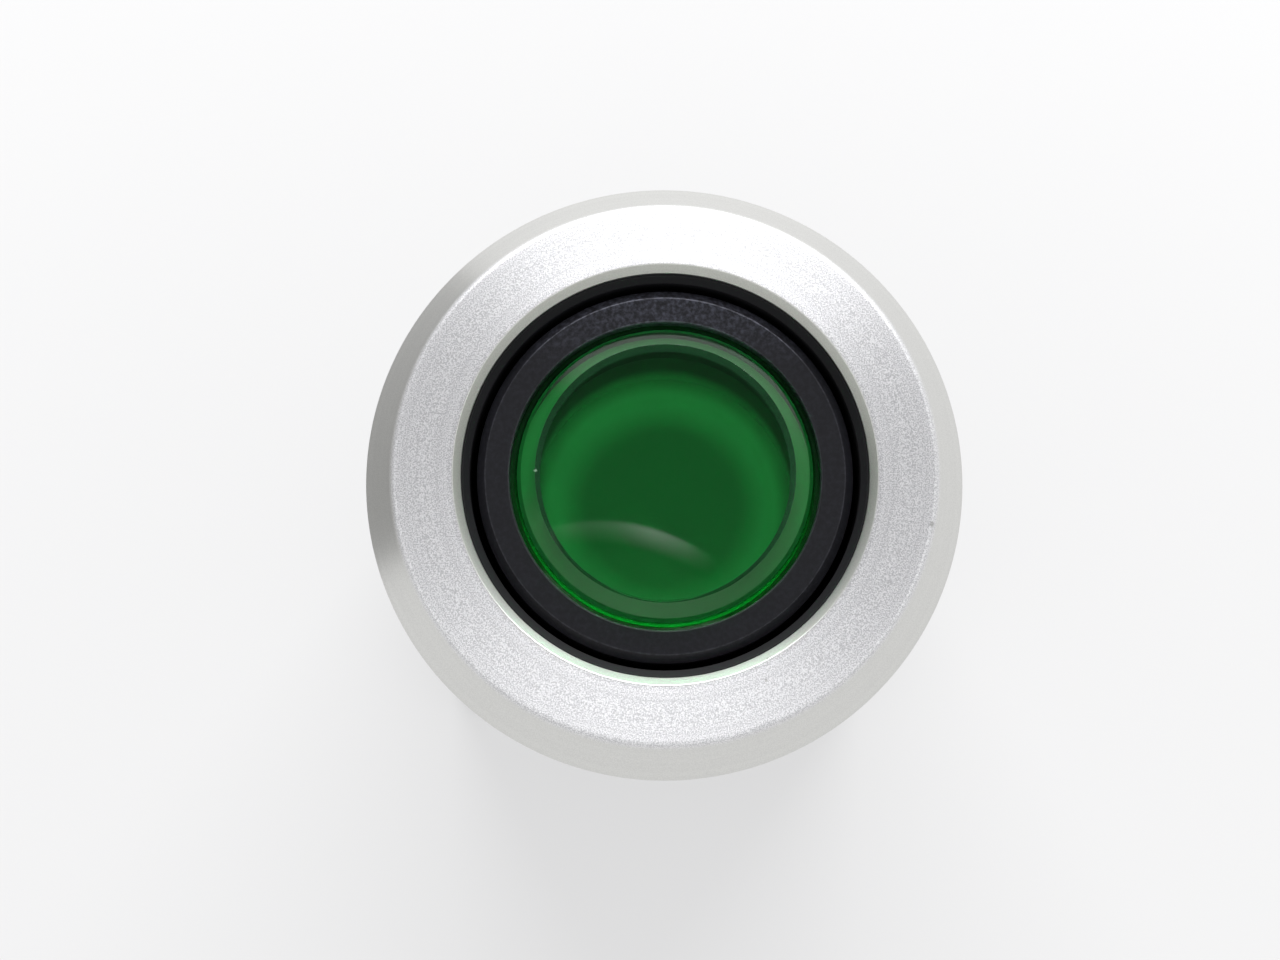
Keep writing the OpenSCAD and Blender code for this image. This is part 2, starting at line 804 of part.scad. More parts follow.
// outline points of the lamp's rounded top, from its side to its middle
dome_steps = 8;
dome_top = [for (i = [0:dome_steps])
    let (a = 90 * i / dome_steps)
    [dome_r * cos(a), lamp_top - dome_r * (1 - sin(a))]];

module led_dome() {
    color("#e6e8e4")
    rotate_extrude()
        polygon(concat([[0, cap_top], [dome_r, cap_top]], dome_top));
}

module return_spring() {
    color("#b9bbbd")
    coil(coil_r, return_wire, return_turns, block_top, seat_bottom);
}

// the spring under one pusher, on the side of +X
module pusher_spring() {
    translate([contact_x, 0, 0])
        coil(pusher_coil_r, small_wire, pusher_turns, pocket_floor, body_bottom);
}

module pusher_spring_no() {
    color("#b9bbbd")
    mirror([1, 0, 0])
        pusher_spring();
}

module pusher_spring_nc() {
    color("#b9bbbd")
    pusher_spring();
}

// the spring between one bridge and its pusher, on the side of +X
module contact_spring(z_low, z_high) {
    translate([contact_x, 0, 0])
        coil(contact_coil_r, small_wire, contact_turns, z_low, z_high);
}

module contact_spring_no() {
    color("#b9bbbd")
    mirror([1, 0, 0])
        contact_spring(no_bar_bottom + bridge_t, window_top);
}

module contact_spring_nc() {
    color("#b9bbbd")
    contact_spring(window_bottom, nc_bar_top - bridge_t);
}

module button_ring() {
    color("#28282d")
    rotate_extrude()
        polygon([
            [ring_bore_r, head_bottom], [ring_r, head_bottom], [ring_r, ring_top - ring_chamfer],
            [ring_r - ring_chamfer, ring_top], [window_r, ring_top],
            [window_r, lens_flange_top], [ring_bore_r, lens_flange_top]]);
}

// outline points of the slightly domed land, from its edge to its middle
land_steps = 2;
lens_top = [for (i = [1:land_steps])
    let (f = 1 - i / land_steps)
    [land_r * f, land_top + dome_rise * (1 - f * f)]];

module lens() {
    color("#117a2a")
    rotate_extrude()
        polygon(concat(
            [[0, lens_under], [land_r, lens_under],
                [lens_in_r, lens_under - inner_chamfer_h],
                [lens_in_r, lens_flange_bottom], [lens_flange_r, lens_flange_bottom],
                [lens_flange_r, lens_flange_top], [lens_r, lens_flange_top],
                [lens_r, land_top - chamfer_h - side_h],
                [lens_r - side_w, land_top - chamfer_h], [land_r, land_top]],
            lens_top));
}

module lens_gasket() {
    color("#26262a")
    ring(tube_in_r + flare_w, lens_flange_r, head_top, lens_flange_bottom);
}

module diffuser() {
    color("#e4e8e0")
    rotate_extrude()
        polygon([
            [0, seat_top], [tube_in_r - seat_fit, seat_top], [tube_in_r - seat_fit, rim_top],
            [tube_in_r - seat_fit - diffuser_rim, rim_top],
            [tube_in_r - seat_fit - diffuser_rim - diffuser_dish, rim_top - diffuser_dish],
            [0, rim_top - diffuser_dish]]);
}

module plunger() {
    color("#1b1b1e")
    difference() {
        rotate_extrude()
            polygon([
                [tube_in_r + flare_w, head_top], [tube_in_r, head_top - flare_h],
                [tube_in_r, seat_top], [lamp_hole_r, seat_top],
                [lamp_hole_r, seat_bottom], [tube_in_r, seat_bottom], [tube_in_r, tube_end],
                [tube_r, tube_end], [tube_r, head_bottom], [ring_bore_r - seat_fit, head_bottom],
                [ring_bore_r - seat_fit, head_top]]);
        ring(clip_in_r, tube_r + over, clip_top - clip_t - seat_fit, clip_top);
    }
}

module retaining_clip() {
    color("#8f9194")
    rotate(clip_turn)
        rotate_extrude(angle = clip_arc)
            translate([clip_in_r, clip_top - clip_t])
                square([clip_r - clip_in_r, clip_t]);
}

bezel();
panel_gasket();
barrel();
plunger_seal();
lock_washer();
ring_nut();
coupling_collar();
collar_set_screw();
block_housing();
block_cover_left();
block_cover_right();
fixed_contact_no_a();
fixed_contact_no_b();
fixed_contact_nc_a();
fixed_contact_nc_b();
lamp_shell();
lamp_centre_contact();
lamp_base_plug();
terminal_screws();
clamp_plates();
led_cap();
led_insulator();
led_tip();
led_dome();
return_spring();
pusher_spring_no();
pusher_spring_nc();
button_ring();
lens();
lens_gasket();
diffuser();
plunger();
retaining_clip();
pusher_no();
pusher_nc();
bridge_no();
bridge_nc();
contact_spring_no();
contact_spring_nc();
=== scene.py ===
"""Illuminated push button: the surfaces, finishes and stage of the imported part, laid out as an add-on."""

import math
from functools import partial

import bmesh
import bpy
import numpy as np
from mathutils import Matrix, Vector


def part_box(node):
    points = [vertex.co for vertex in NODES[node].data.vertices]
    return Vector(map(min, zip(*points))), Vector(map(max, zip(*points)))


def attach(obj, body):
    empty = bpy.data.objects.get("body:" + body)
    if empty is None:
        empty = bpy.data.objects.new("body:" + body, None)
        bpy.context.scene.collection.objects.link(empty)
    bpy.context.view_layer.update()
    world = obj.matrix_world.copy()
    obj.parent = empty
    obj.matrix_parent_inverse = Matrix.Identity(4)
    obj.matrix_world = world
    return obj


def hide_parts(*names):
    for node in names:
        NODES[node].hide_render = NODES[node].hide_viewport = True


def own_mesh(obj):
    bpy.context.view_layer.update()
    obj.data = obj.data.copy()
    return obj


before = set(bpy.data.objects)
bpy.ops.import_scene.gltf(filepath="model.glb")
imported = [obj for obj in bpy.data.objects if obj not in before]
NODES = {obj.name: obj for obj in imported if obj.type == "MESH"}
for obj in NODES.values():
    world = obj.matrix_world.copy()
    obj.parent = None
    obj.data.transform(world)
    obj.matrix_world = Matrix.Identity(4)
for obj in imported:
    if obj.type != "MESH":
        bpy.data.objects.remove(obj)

bl_info = {
    "name": "Illuminated Push Button",
    "version": (1, 0, 0),
    "blender": (4, 5, 0),
    "location": "View3D > Sidebar > Button",
    "description": "Builds the visible surfaces, finishes and stage of an illuminated push button",
    "category": "Object",
}

MM = 0.001
# points closer than this are one point
WELD = 0.0001 * MM
# edges below the first angle are flat, and those above the second are sharp
FLAT, SHARP = math.radians(1), math.radians(40)
# settings of a ramp with soft ends, and of a mix of colours, which is the third output
SMOOTH = {"interpolation_type": "SMOOTHSTEP"}
BLEND = {"data_type": "RGBA", "out": 2}
# input sockets of a mix: its factor, two values and two colours
FACTOR, VALUE_A, VALUE_B, COLOUR_A, COLOUR_B = 0, 2, 3, 6, 7


def radius_of(node):
    """How far a CAD node reaches from the axis along X, in metres."""
    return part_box(node)[1][0]


def bottom_of(node):
    """Height of a CAD node's bottom, in metres."""
    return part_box(node)[0][2]


def top_of(node):
    """Height of a CAD node's top, in metres."""
    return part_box(node)[1][2]


# Settings


def linear(code):
    """An sRGB hex colour as linear RGBA."""
    s = np.array([int(code[i : i + 2], 16) for i in (1, 3, 5)]) / 255
    rgb = np.where(s <= 0.04045, s / 12.92, ((s + 0.055) / 1.055) ** 2.4)
    return (*rgb.tolist(), 1.0)


def length(name, about, mm):
    """A length setting whose default is given in millimetres."""
    return bpy.props.FloatProperty(name=name, description=about, default=mm * MM, precision=5, unit="LENGTH")


def tint(name, about, code):
    """A colour setting whose default is given as an sRGB hex code."""
    limits = {"size": 4, "min": 0.0, "max": 1.0, "subtype": "COLOR"}
    return bpy.props.FloatVectorProperty(name=name, description=about, default=linear(code), **limits)


def count(name, about, number):
    """A setting for how many there are of something."""
    return bpy.props.IntProperty(name=name, description=about, default=number, min=1)


def turns_of(name, about, number):
    """A setting for the turns of a spring, which needn't be whole."""
    return bpy.props.FloatProperty(name=name, description=about, default=number, subtype="UNSIGNED")


def angle_of(name, about, degrees):
    """An angle setting whose default is given in degrees."""
    radians = math.radians(degrees)
    return bpy.props.FloatProperty(name=name, description=about, default=radians, subtype="ANGLE")


def pixels(name, about, number):
    """A setting that is a length in the picture."""
    return bpy.props.FloatProperty(name=name, description=about, default=number, subtype="PIXEL")


class BezelLook(bpy.types.PropertyGroup):
    """Sizes and colours of the bezel."""

    foot: length("Foot", "Height of the plain foot below the flank", 0.4)
    flank: length("Flank", "Width of the conical flank, seen from the front", 1.55)
    crown: length("Crown", "Fall of the face from its mouth to its outer edge", 0.1)
    mouth: length("Mouth", "Radius of the mouth", 9.95)
    chamfer: length("Mouth chamfer", "Width of the chamfer around the mouth", 0.4)
    soft: length("Face edge", "Radius between face and flank", 0.25)
    edge: length("Edge", "Radius of the other edges", 0.06)
    fit: length("Fit", "Room around the barrel's neck and flange", 0.05)
    pit: tint("Pit", "Colour of the pits of the blasted face", "#C6C6C9")
    peak: tint("Peak", "Colour of the peaks of the blasted face", "#F2F2F4")
    plain: tint("Flank colour", "Colour of the flank and of the mouth's chamfer", "#D4D4D1")
    nick: tint("Nick", "Colour of small nicks", "#8C8A86")


class RingLook(bpy.types.PropertyGroup):
    """Sizes and colours of the black button ring."""

    wall: length("Wall", "Radial width of the ring around the lens", 1.6)
    chamfer: length("Chamfer", "Chamfer at the outer edge", 0.4)
    lip: length("Lip", "Thickness of the lip over the lens flange", 1.0)
    gap: length("Gap", "Room around the lens flange", 0.15)
    edge: length("Edge", "Radius of the edges", 0.06)
    window_edge: length("Window edge", "Radius at the window", 0.12)
    black: tint("Black", "Colour of the plastic", "#0E0E12")
    # rubbed patches and worn edges are real wear and partly a painted highlight, lighter at the upper side
    rubbed: tint("Rubbed", "Colour of rubbed patches", "#3B3C45")
    worn: tint("Worn edge", "Colour of worn edges", "#54555F")


class LensLook(bpy.types.PropertyGroup):
    """Sizes and colours of the green lens and its gasket."""

    gap: length("Gap", "Radial gap to the ring", 0.25)
    chamfer_width: length("Chamfer width", "Radial width of the chamfer around the land", 0.7)
    chamfer_height: length("Chamfer height", "Height of the chamfer around the land", 0.5)
    side_width: length("Side width", "Radial width of the steep side below the chamfer", 0.3)
    side_height: length("Side height", "Height of the steep side below the chamfer", 0.6)
    crown: length("Crown", "Rise of the land at its middle", 0.1)
    wall: length("Wall", "Thickness at the edge of the land", 1.05)
    inner_set: length("Inner chamfer start", "Start of the inner chamfer inside the edge of the land", 0.25)
    inner_width: length("Inner chamfer width", "Radial width of the inner chamfer", 0.9)
    inner_height: length("Inner chamfer height", "Height of the inner chamfer", 0.28)
    inner_round: length("Inner rounding", "Radius where the inner chamfer starts", 0.03)
    flange: length("Flange", "Thickness of the flange", 0.6)
    edge: length("Edge", "Radius of the hidden edges", 0.05)
    crisp: length("Crisp edge", "Radius of the edges of the land and of the chamfer", 0.02)
    green: tint("Green", "Tint of the clear plastic", "#7CEDA2")
    shade: tint("Shade", "Tint of light that falls through the lens", "#BCF9CB")
    glow: tint("Side glow", "Colour of light caught in the steep side", "#10A038")
    dust: tint("Dust", "Colour of dust specks", "#9FC0A6")
    rubber: tint("Gasket", "Colour of the lens gasket", "#1C1C1E")


class LightLook(bpy.types.PropertyGroup):
    """Sizes and colours of the plunger tube, the diffuser and the lamp's dome."""

    wall: length("Tube wall", "Wall of the plunger tube", 0.85)
    flare_width: length("Flare width", "Radial width of the flare at the tube's mouth", 0.6)
    flare_height: length("Flare height", "Height of the flare at the tube's mouth", 2.6)
    hole: length("Lamp hole", "Radius of the hole under the diffuser", 4.9)
    seat: length("Seat", "Thickness of the diffuser's seat", 1.1)
    groove: length("Clip groove", "Depth of the groove for the retaining clip", 0.45)
    fit: length("Fit", "Room beside the retaining clip", 0.05)
    edge: length("Edge", "Radius of the edges", 0.05)
    rim: length("Diffuser rim", "Radial width of the diffuser's rim", 1.0)
    dish: length("Diffuser dish", "Depth of the dish inside the diffuser's rim", 0.4)
    dish_slope: length("Dish slope", "Radial width of the slope down into the dish", 1.4)
    # painted light: the haze is a pale glow painted on the tube over the diffuser
    painted_glow_height: length("Haze height", "Height of the haze on the tube over the diffuser", 3.5)
    black: tint("Tube black", "Colour of the plunger tube", "#191A1B")
    # painted light: colour of the glow painted on the tube beside the diffuser
    haze: tint("Haze", "Colour of the tube beside the diffuser", "#B0B6B1")
    # painted light and shade of the diffuser: pale over its seat, dimmer over the lamp hole, darker where it
    # meets the tube
    middle: tint("Diffuser middle", "Colour of the diffuser over the lamp hole", "#A8ADA8")
    pale: tint("Diffuser rim colour", "Colour of the diffuser over its seat", "#E6EAE6")
    corner: tint("Diffuser corner", "Colour of the diffuser where it meets the tube", "#A6ACA6")
    dome: tint("Lamp dome", "Colour of the lamp's milky dome", "#DDE2DC")


class BarrelLook(bpy.types.PropertyGroup):
    """Sizes and colours of the barrel and its seal."""

    bore: length("Bore", "Radius of the bore around the button ring", 9.55)
    neck_wall: length("Neck wall", "Wall of the neck inside the bezel", 1.9)
    flange: length("Flange", "Thickness of the flange", 1.0)
    shank: length("Shank", "Radius of the barrel in the panel hole", 11.0)
    shank_length: length("Shank length", "Length of the plain shank", 1.2)
    thread: length("Thread depth", "Depth of the thread", 0.6)
    pitch: length("Pitch", "Pitch of the thread", 1.0)
    plain_end: length("Plain end", "Length of the plain end behind the thread", 1.5)
    end_step: length("End step", "Step from the thread's root to the plain end", 0.3)
    well: length("Well", "Depth of the bore below the panel's front", 4.3)
    guide: length("Guide", "Length of the bore that guides the plunger", 6.5)
    slide: length("Slide", "Room around the plunger tube", 0.05)
    tail: length("Tail", "Radius of the wide bore behind the guide", 8.55)
    key_width: length("Key width", "Width of the key", 3.0)
    key_height: length("Key height", "Height of the key over the shank", 1.0)
    key_length: length("Key length", "Length of the key", 2.2)
    key_edge: length("Key edge", "Radius of the key's edges", 0.15)
    edge: length("Edge", "Radius of the edges", 0.06)
    black: tint("Black", "Colour of the barrel", "#0E0E11")
    rubber: tint("Rubber", "Colour of the gasket and the seal", "#202022")


class FixingLook(bpy.types.PropertyGroup):
    """Sizes and colours of the panel gasket, the lock washer and the ring nut."""

    fit: length("Fit", "Room around the barrel", 0.05)
    gasket_edge: length("Gasket edge", "Radius of the gasket's edges", 0.15)
    washer_back: length("Washer back", "How far the lock washer stands back from the flange", 0.15)
    washer_edge: length("Washer edge", "Radius of the washer's edges", 0.1)
    teeth: count("Teeth", "Teeth of the lock washer", 18)
    tooth_cut: length("Tooth cut", "Depth of the V between two teeth", 0.55)
    nut_over: length("Nut over", "How far the nut stands out past the flange", 0.15)
    nut_edge: length("Nut edge", "Radius of the nut's edges", 0.3)
    notches: count("Notches", "Grip notches of the nut", 16)
    notch_radius: length("Notch radius", "Radius of the grip notches", 1.0)
    notch_depth: length("Notch depth", "Depth of the grip notches", 0.65)
    black: tint("Nut black", "Colour of the ring nut", "#1D1D20")
    zinc: tint("Zinc", "Colour of the plated washer", "#BDBEBF")


class SpringLook(bpy.types.PropertyGroup):
    """Sizes and colour of the coil springs."""

    return_wire: length("Return wire", "Thickness of the return spring's wire", 0.7)
    small_wire: length("Small wire", "Thickness of the other springs' wire", 0.35)
    return_turns: turns_of("Return turns", "Turns of the return spring", 4.5)
    contact_turns: turns_of("Contact turns", "Turns of a contact spring", 4.0)
    pusher_turns: turns_of("Pusher turns", "Turns of a pusher spring", 5.0)
    wire: tint("Wire", "Colour of the drawn wire", "#A9ABAD")


class BlockLook(bpy.types.PropertyGroup):
    """Edge and colours of the collar, the switch block and what is in it."""

    edge: length("Edge", "Width of the broken edges", 0.14)
    thin_edge: length("Thin edge", "Width of the broken edges of thin plates", 0.07)
    grey: tint("Dark grey", "Colour of the collar and the covers", "#303137")
    black: tint("Black", "Colour of the block's housing", "#212226")
    brass: tint("Brass", "Colour of the contacts", "#B98F4E")
    steel: tint("Steel", "Colour of the terminal screws and clamps", "#B4B6B8")
    oiled: tint("Oiled steel", "Colour of the set screw and the retaining clip", "#7B7D80")
    nickel: tint("Nickel", "Colour of the lamp's cap", "#B9B6AE")
    insulator: tint("Insulator", "Colour of the lamp's insulator", "#141416")
    green: tint("Green pusher", "Colour of the pusher that closes its contacts", "#2F7D3F")
    red: tint("Red pusher", "Colour of the pusher that opens its contacts", "#B3342C")


class StageLook(bpy.types.PropertyGroup):
    """Camera, light and colours of the stage."""

    distance: length("Camera distance", "Camera to the middle of the bezel", 160.0)
    tilt: angle_of("Tilt", "Angle from the button's axis down to the camera", 8.4)
    swing: angle_of("Swing", "Angle from the button's axis to the camera on its left", 0.8)
    picture_width: pixels("Picture width", "Width of the picture", 1280)
    picture_height: pixels("Picture height", "Height of the picture", 960)
    bezel_width: pixels("Bezel width", "Width of the bezel in the picture", 596.4)
    bezel_across: pixels("Bezel across", "Middle of the bezel, from the picture's left edge", 665.0)
    bezel_down: pixels("Bezel down", "Middle of the bezel, from the picture's upper edge", 477.6)
    key_place: bpy.props.FloatVectorProperty(
        name="Key light",
        description="Place of the key light",
        default=(0.022, 0.244, 0.13),
        subtype="TRANSLATION",
    )
    key_width: length("Key width", "Width of the key light", 340.0)
    key_height: length("Key height", "Height of the key light", 120.0)
    key_power: bpy.props.FloatProperty(
        name="Key power", description="Power of the key light", default=1.3, unit="POWER"
    )
    table_width: length("Table width", "Width of the table", 6000.0)
    table: tint("Table", "Colour of the table", "#CACACA")
    backdrop: tint("Backdrop", "Colour of the table where it is seen or mirrored", "#F8F8F9")
    card: tint("Grey card", "Colour of the grey card", "#5A5A58")
    low_near: tint("Low, near", "Surroundings low down, on the picture's lower side", "#8E8E8B")
    low_far: tint("Low, far", "Surroundings low down, on the picture's upper side", "#D2D2D2")
    half_near: tint("Half way up, near", "Surroundings half way up, on the picture's lower side", "#FFFFFF")
    half_far: tint("Half way up, far", "Surroundings half way up, on the picture's upper side", "#B4B4B4")
    patch: tint("Dark patch", "Dark patch of the surroundings on the left", "#4A4A4A")
    overhead: tint("Overhead", "Surroundings overhead", "#363638")
    open_room: tint("Open room", "Surroundings where the camera looks past the table", "#F2F2F2")


LOOKS = {
    "bezel": BezelLook,
    "ring": RingLook,
    "lens": LensLook,
    "light": LightLook,
    "barrel": BarrelLook,
    "fixing": FixingLook,
    "spring": SpringLook,
    "block": BlockLook,
    "stage": StageLook,
}


class ButtonLook(bpy.types.PropertyGroup):
    """All settings of the push button, by group."""

    __annotations__ = {name: bpy.props.PointerProperty(type=made) for name, made in LOOKS.items()}


# Shader helpers


def add_node(tree, kind, inputs=(), out=0, **settings):
    """Adds a shader node with its settings and gives back one of its outputs.

    Inputs are values to set or sockets to link, as a list in socket order or as a dict by socket.
    """
    made = tree.nodes.new("ShaderNode" + kind)
    for key, value in settings.items():
        setattr(made, key, value)
    for key, value in inputs.items() if isinstance(inputs, dict) else enumerate(inputs):
        if isinstance(value, bpy.types.NodeSocket):
            tree.links.new(value, made.inputs[key])
        else:
            made.inputs[key].default_value = value
    return made.outputs[out] if made.outputs else None


def fresh(made):
    """Clears the nodes of a material or world and gives back a function that adds a node to it."""
    made.use_nodes = True
    made.node_tree.nodes.clear()
    return partial(add_node, made.node_tree)


def material(name):
    """A new material, a function that adds a node to it, and Object coordinates in metres."""
    made = bpy.data.materials.new(name)
    add = fresh(made)
    return made, add, add("TexCoord", out="Object")


def from_axis(add, at):
    """Distance from the button's axis."""
    flat = add("VectorMath", [at, (1, 1, 0)], operation="MULTIPLY")
    return add("VectorMath", [flat], "Value", operation="LENGTH")


def spots(add, at, places):
    """1 in small spots of (x, y, z, radius) in millimetres, with soft edges, and 0 elsewhere."""
    found = 0.0
    for x, y, z, radius in places:
        far = add("VectorMath", [at, (x * MM, y * MM, z * MM)], "Value", operation="DISTANCE")
        inside = add("MapRange", [far, 0.6 * radius * MM, radius * MM, 1.0, 0.0], **SMOOTH)
        found = add("Math", [found, inside], operation="MAXIMUM")
    return found


def scaled(colour, share):
    """A colour with its brightness changed by a share."""
    return (*[min(1.0, c * share) for c in colour[:3]], 1.0)


# Finishes

# nicks of the bezel and dust specks of the lens: x, y, z and radius in millimetres
NICKS = ((13.0, -2.5, 3.35, 0.22), (4.9, -9.0, 3.4, 0.12), (4.85, -10.1, 3.4, 0.1))
SPECKS = ((-6.3, 0.1, 3.2, 0.14), (1.4, 6.4, 3.0, 0.12), (0.3, 6.2, 3.1, 0.1), (1.75, 6.2, 3.1, 0.08))


def anodised_aluminium(look, mouth_edge, face_edge):
    """Aluminium, turned and then blasted, under a clear matte anodised skin.

    The face sparkles finely over faint turning marks and draws reflections out across them. The flank and
    the mouth's chamfer are smoother. The face has nicks at its edge and near the mouth.
    """
    made, add, at = material("anodised_aluminium")
    # real grit is half as wide, too fine to show
    grit, turning, depth = 0.065 * MM, 0.2 * MM, 0.008 * MM
    # where the smoother skins go over into the face
    flank_end = face_edge + 0.3 * MM
    mouth_start, mouth_end = mouth_edge - 0.05 * MM, mouth_edge + 0.1 * MM
    reach = from_axis(add, at)
    pits = add("TexNoise", {"Vector": at, "Scale": 1 / grit, "Detail": 1.0})
    marks = add("TexNoise", {"W": reach, "Scale": 1 / turning, "Detail": 2.0}, noise_dimensions="1D")
    height = add("Mix", {FACTOR: 0.15, VALUE_A: pits, VALUE_B: marks})
    flank = add("MapRange", [reach, face_edge, flank_end], **SMOOTH)
    mouth = add("MapRange", [reach, mouth_start, mouth_end, 1.0, 0.0], **SMOOTH)
    smooth = add("Math", [flank, mouth], operation="ADD")
    sparkle = add("MapRange", [height, 0.36, 0.64], **SMOOTH)
    face = add("Mix", {FACTOR: sparkle, COLOUR_A: look.pit, COLOUR_B: look.peak}, **BLEND)
    haze = {FACTOR: sparkle, COLOUR_A: scaled(look.plain, 0.95), COLOUR_B: scaled(look.plain, 1.05)}
    plain = add("Mix", haze, **BLEND)
    skin = add("Mix", {FACTOR: smooth, COLOUR_A: face, COLOUR_B: plain}, **BLEND)
    nicked = add("Math", [spots(add, at, NICKS), 0.5], operation="MULTIPLY")
    outside = add("MapRange", [flank, 0.0, 1.0, 0.54, 0.34])
    relief = add("MapRange", [smooth, 0.0, 1.0, 0.8, 0.0])
    metal = {
        "Base Color": add("Mix", {FACTOR: nicked, COLOUR_A: skin, COLOUR_B: look.nick}, **BLEND),
        "Metallic": 1.0,
        "Roughness": add("Mix", {FACTOR: mouth, VALUE_A: outside, VALUE_B: 0.3}),
        "Anisotropic": add("MapRange", [smooth, 0.0, 1.0, 0.68, 0.2]),
        "Anisotropic Rotation": 0.25,
        "Tangent": add("Tangent", direction_type="RADIAL", axis="Z"),
        "Normal": add("Bump", {"Height": height, "Distance": depth, "Strength": relief}),
    }
    add("OutputMaterial", [add("BsdfPrincipled", metal)])
    return made


def moulded_plastic(name, colour, roughness=0.5, gloss=0.5):
    """Moulded plastic or rubber: matte, with the fine grain of an eroded mould and a slight cloudiness."""
    made, add, at = material(name)
    grain, depth, cloud = 0.25 * MM, 0.004 * MM, 3.0 * MM
    mottle = add("TexNoise", {"Vector": at, "Scale": 1 / cloud, "Detail": 4.0})
    fine = add("TexNoise", {"Vector": at, "Scale": 1 / grain, "Detail": 2.0})
    clouded = add("MapRange", [mottle, 0.35, 0.65], **SMOOTH)
    shades = {FACTOR: clouded, COLOUR_A: scaled(colour, 0.88), COLOUR_B: scaled(colour, 1.12)}
    plastic = {
        "Base Color": add("Mix", shades, **BLEND),
        "Roughness": add("MapRange", [mottle, 0.3, 0.7, roughness - 0.04, roughness + 0.04]),
        "Specular IOR Level": gloss,
        "Normal": add("Bump", {"Height": fine, "Distance": depth, "Strength": 0.5}),
    }
    add("OutputMaterial", [add("BsdfPrincipled", plastic)])
    return made


def scuffed_black_plastic(look, land_edge, window_edge):
    """Black plastic of the button ring, with rubbed patches, hairlines and worn edges.

    Patches, hairlines and edges are lighter mostly at the upper side, a painted highlight where the light
    falls. The edge lines are partly real wear and partly a painted highlight.
    """
    made, add, at = material("scuffed_black_plastic")
    patch, hair, grain, depth = 0.22 * MM, 1.6 * MM, 0.12 * MM, 0.003 * MM
    rub = add("TexNoise", {"Vector": at, "Scale": 1 / patch, "Detail": 4.0, "Roughness": 0.7})
    rubbed = add("MapRange", [rub, 0.36, 0.74], **SMOOTH)
    # hairlines: a noise drawn out along one direction
    along = add("Mapping", {"Vector": at, "Rotation": (0, 0, 0.6), "Scale": (1.0, 14.0, 1.0)})
    line = add("TexNoise", {"Vector": along, "Scale": 1 / hair, "Detail": 3.0, "Roughness": 0.6})
    lines = add("MapRange", [line, 0.66, 0.74], **SMOOTH)
    # painted highlight: wear and edges are lighter towards the upper side, where the light falls
    upper = add("SeparateXYZ", [at], "Y")
    upper_painted_highlight = add("MapRange", [upper, 5.0 * MM, 9.0 * MM, 0.12, 1.0], **SMOOTH)
    wear = add("Math", [rubbed, lines], operation="MAXIMUM")
    worn = add("Math", [wear, upper_painted_highlight], operation="MULTIPLY")
    # both edges of the ring's land, a few hundredths of a millimetre wide, partly wear and partly a painted
    # highlight
    reach, sides = from_axis(add, at), []
    for radius in (land_edge, window_edge):
        off = add("Math", [reach, radius], operation="SUBTRACT")
        sides.append(add("Math", [off], operation="ABSOLUTE"))
    nearest = add("Math", sides, operation="MINIMUM")
    edge = add("MapRange", [nearest, 0.015 * MM, 0.055 * MM, 1.0, 0.0], **SMOOTH)
    patchy = add("MapRange", [rub, 0.35, 0.65, 0.25, 1.0], **SMOOTH)
    for share in (patchy, upper_painted_highlight):
        edge = add("Math", [edge, share], operation="MULTIPLY")
    dark = add("Mix", {FACTOR: worn, COLOUR_A: look.black, COLOUR_B: look.rubbed}, **BLEND)
    fine = add("TexNoise", {"Vector": at, "Scale": 1 / grain, "Detail": 2.0})
    plastic = {
        "Base Color": add("Mix", {FACTOR: edge, COLOUR_A: dark, COLOUR_B: look.worn}, **BLEND),
        "Specular IOR Level": 0.25,
        "Roughness": add("MapRange", [worn, 0.0, 1.0, 0.44, 0.34]),
        "Normal": add("Bump", {"Height": fine, "Distance": depth, "Strength": 0.5}),
    }
    add("OutputMaterial", [add("BsdfPrincipled", plastic)])
    return made


def clear_green_plastic(look, glow_start, glow_end):
    """Clear green plastic with a few dust specks. Light passes it tinted, also for shadows.

    Light that falls in at the upper side gathers at the lower one, where the steep side glows. The glow
    sets in between two radii.
    """
    made, add, at = material("clear_green_plastic")
    clear = {"Base Color": look.green, "Roughness": 0.02, "IOR": 1.49, "Transmission Weight": 1.0}
    body = add("BsdfPrincipled", clear)
    caught = add("BsdfTranslucent", [look.glow])
    side = add("MapRange", [from_axis(add, at), glow_start, glow_end, 0.0, 0.3], **SMOOTH)
    # painted light: a fixed mask keeps the glow to the lower side of the lens
    upwards = add("SeparateXYZ", [at], "Y")
    lower = add("MapRange", [upwards, -6.0 * MM, 1.0 * MM, 1.0, 0.0], **SMOOTH)
    glowing = add("Math", [side, lower], operation="MULTIPLY")
    lit = add("MixShader", [glowing, body, caught])
    dust = add("BsdfDiffuse", [look.dust])
    dusty = add("Math", [spots(add, at, SPECKS), 0.6], operation="MULTIPLY")
    seen = add("MixShader", [dusty, lit, dust])
    passing = add("BsdfTransparent", [look.shade])
    shadow = add("LightPath", out="Is Shadow Ray")
    add("OutputMaterial", [add("MixShader", [shadow, seen, passing])])
    return made


def milky_plastic_painted_light_and_shade(look, hole, radius):
    """Milky diffuser with painted light and shade: painted palest over its seat, dimmer over the open lamp
    hole, and painted darker where it meets the tube.
    """
    made, add, at = material("milky_plastic_painted_light_and_shade")
    reach = from_axis(add, at)
    # painted light: the rim over the seat is painted paler
    rim = add("MapRange", [reach, hole - 1.3 * MM, hole + 0.9 * MM], **SMOOTH)
    # painted shade: the corner mask darkens the disc where the tube shades it
    corner = add("MapRange", [reach, radius - 0.9 * MM, radius], **SMOOTH)
    pale = add("Mix", {FACTOR: rim, COLOUR_A: look.middle, COLOUR_B: look.pale}, **BLEND)
    colour = add("Mix", {FACTOR: corner, COLOUR_A: pale, COLOUR_B: look.corner}, **BLEND)
    add("OutputMaterial", [add("BsdfPrincipled", {"Base Color": colour, "Roughness": 0.4})])
    return made


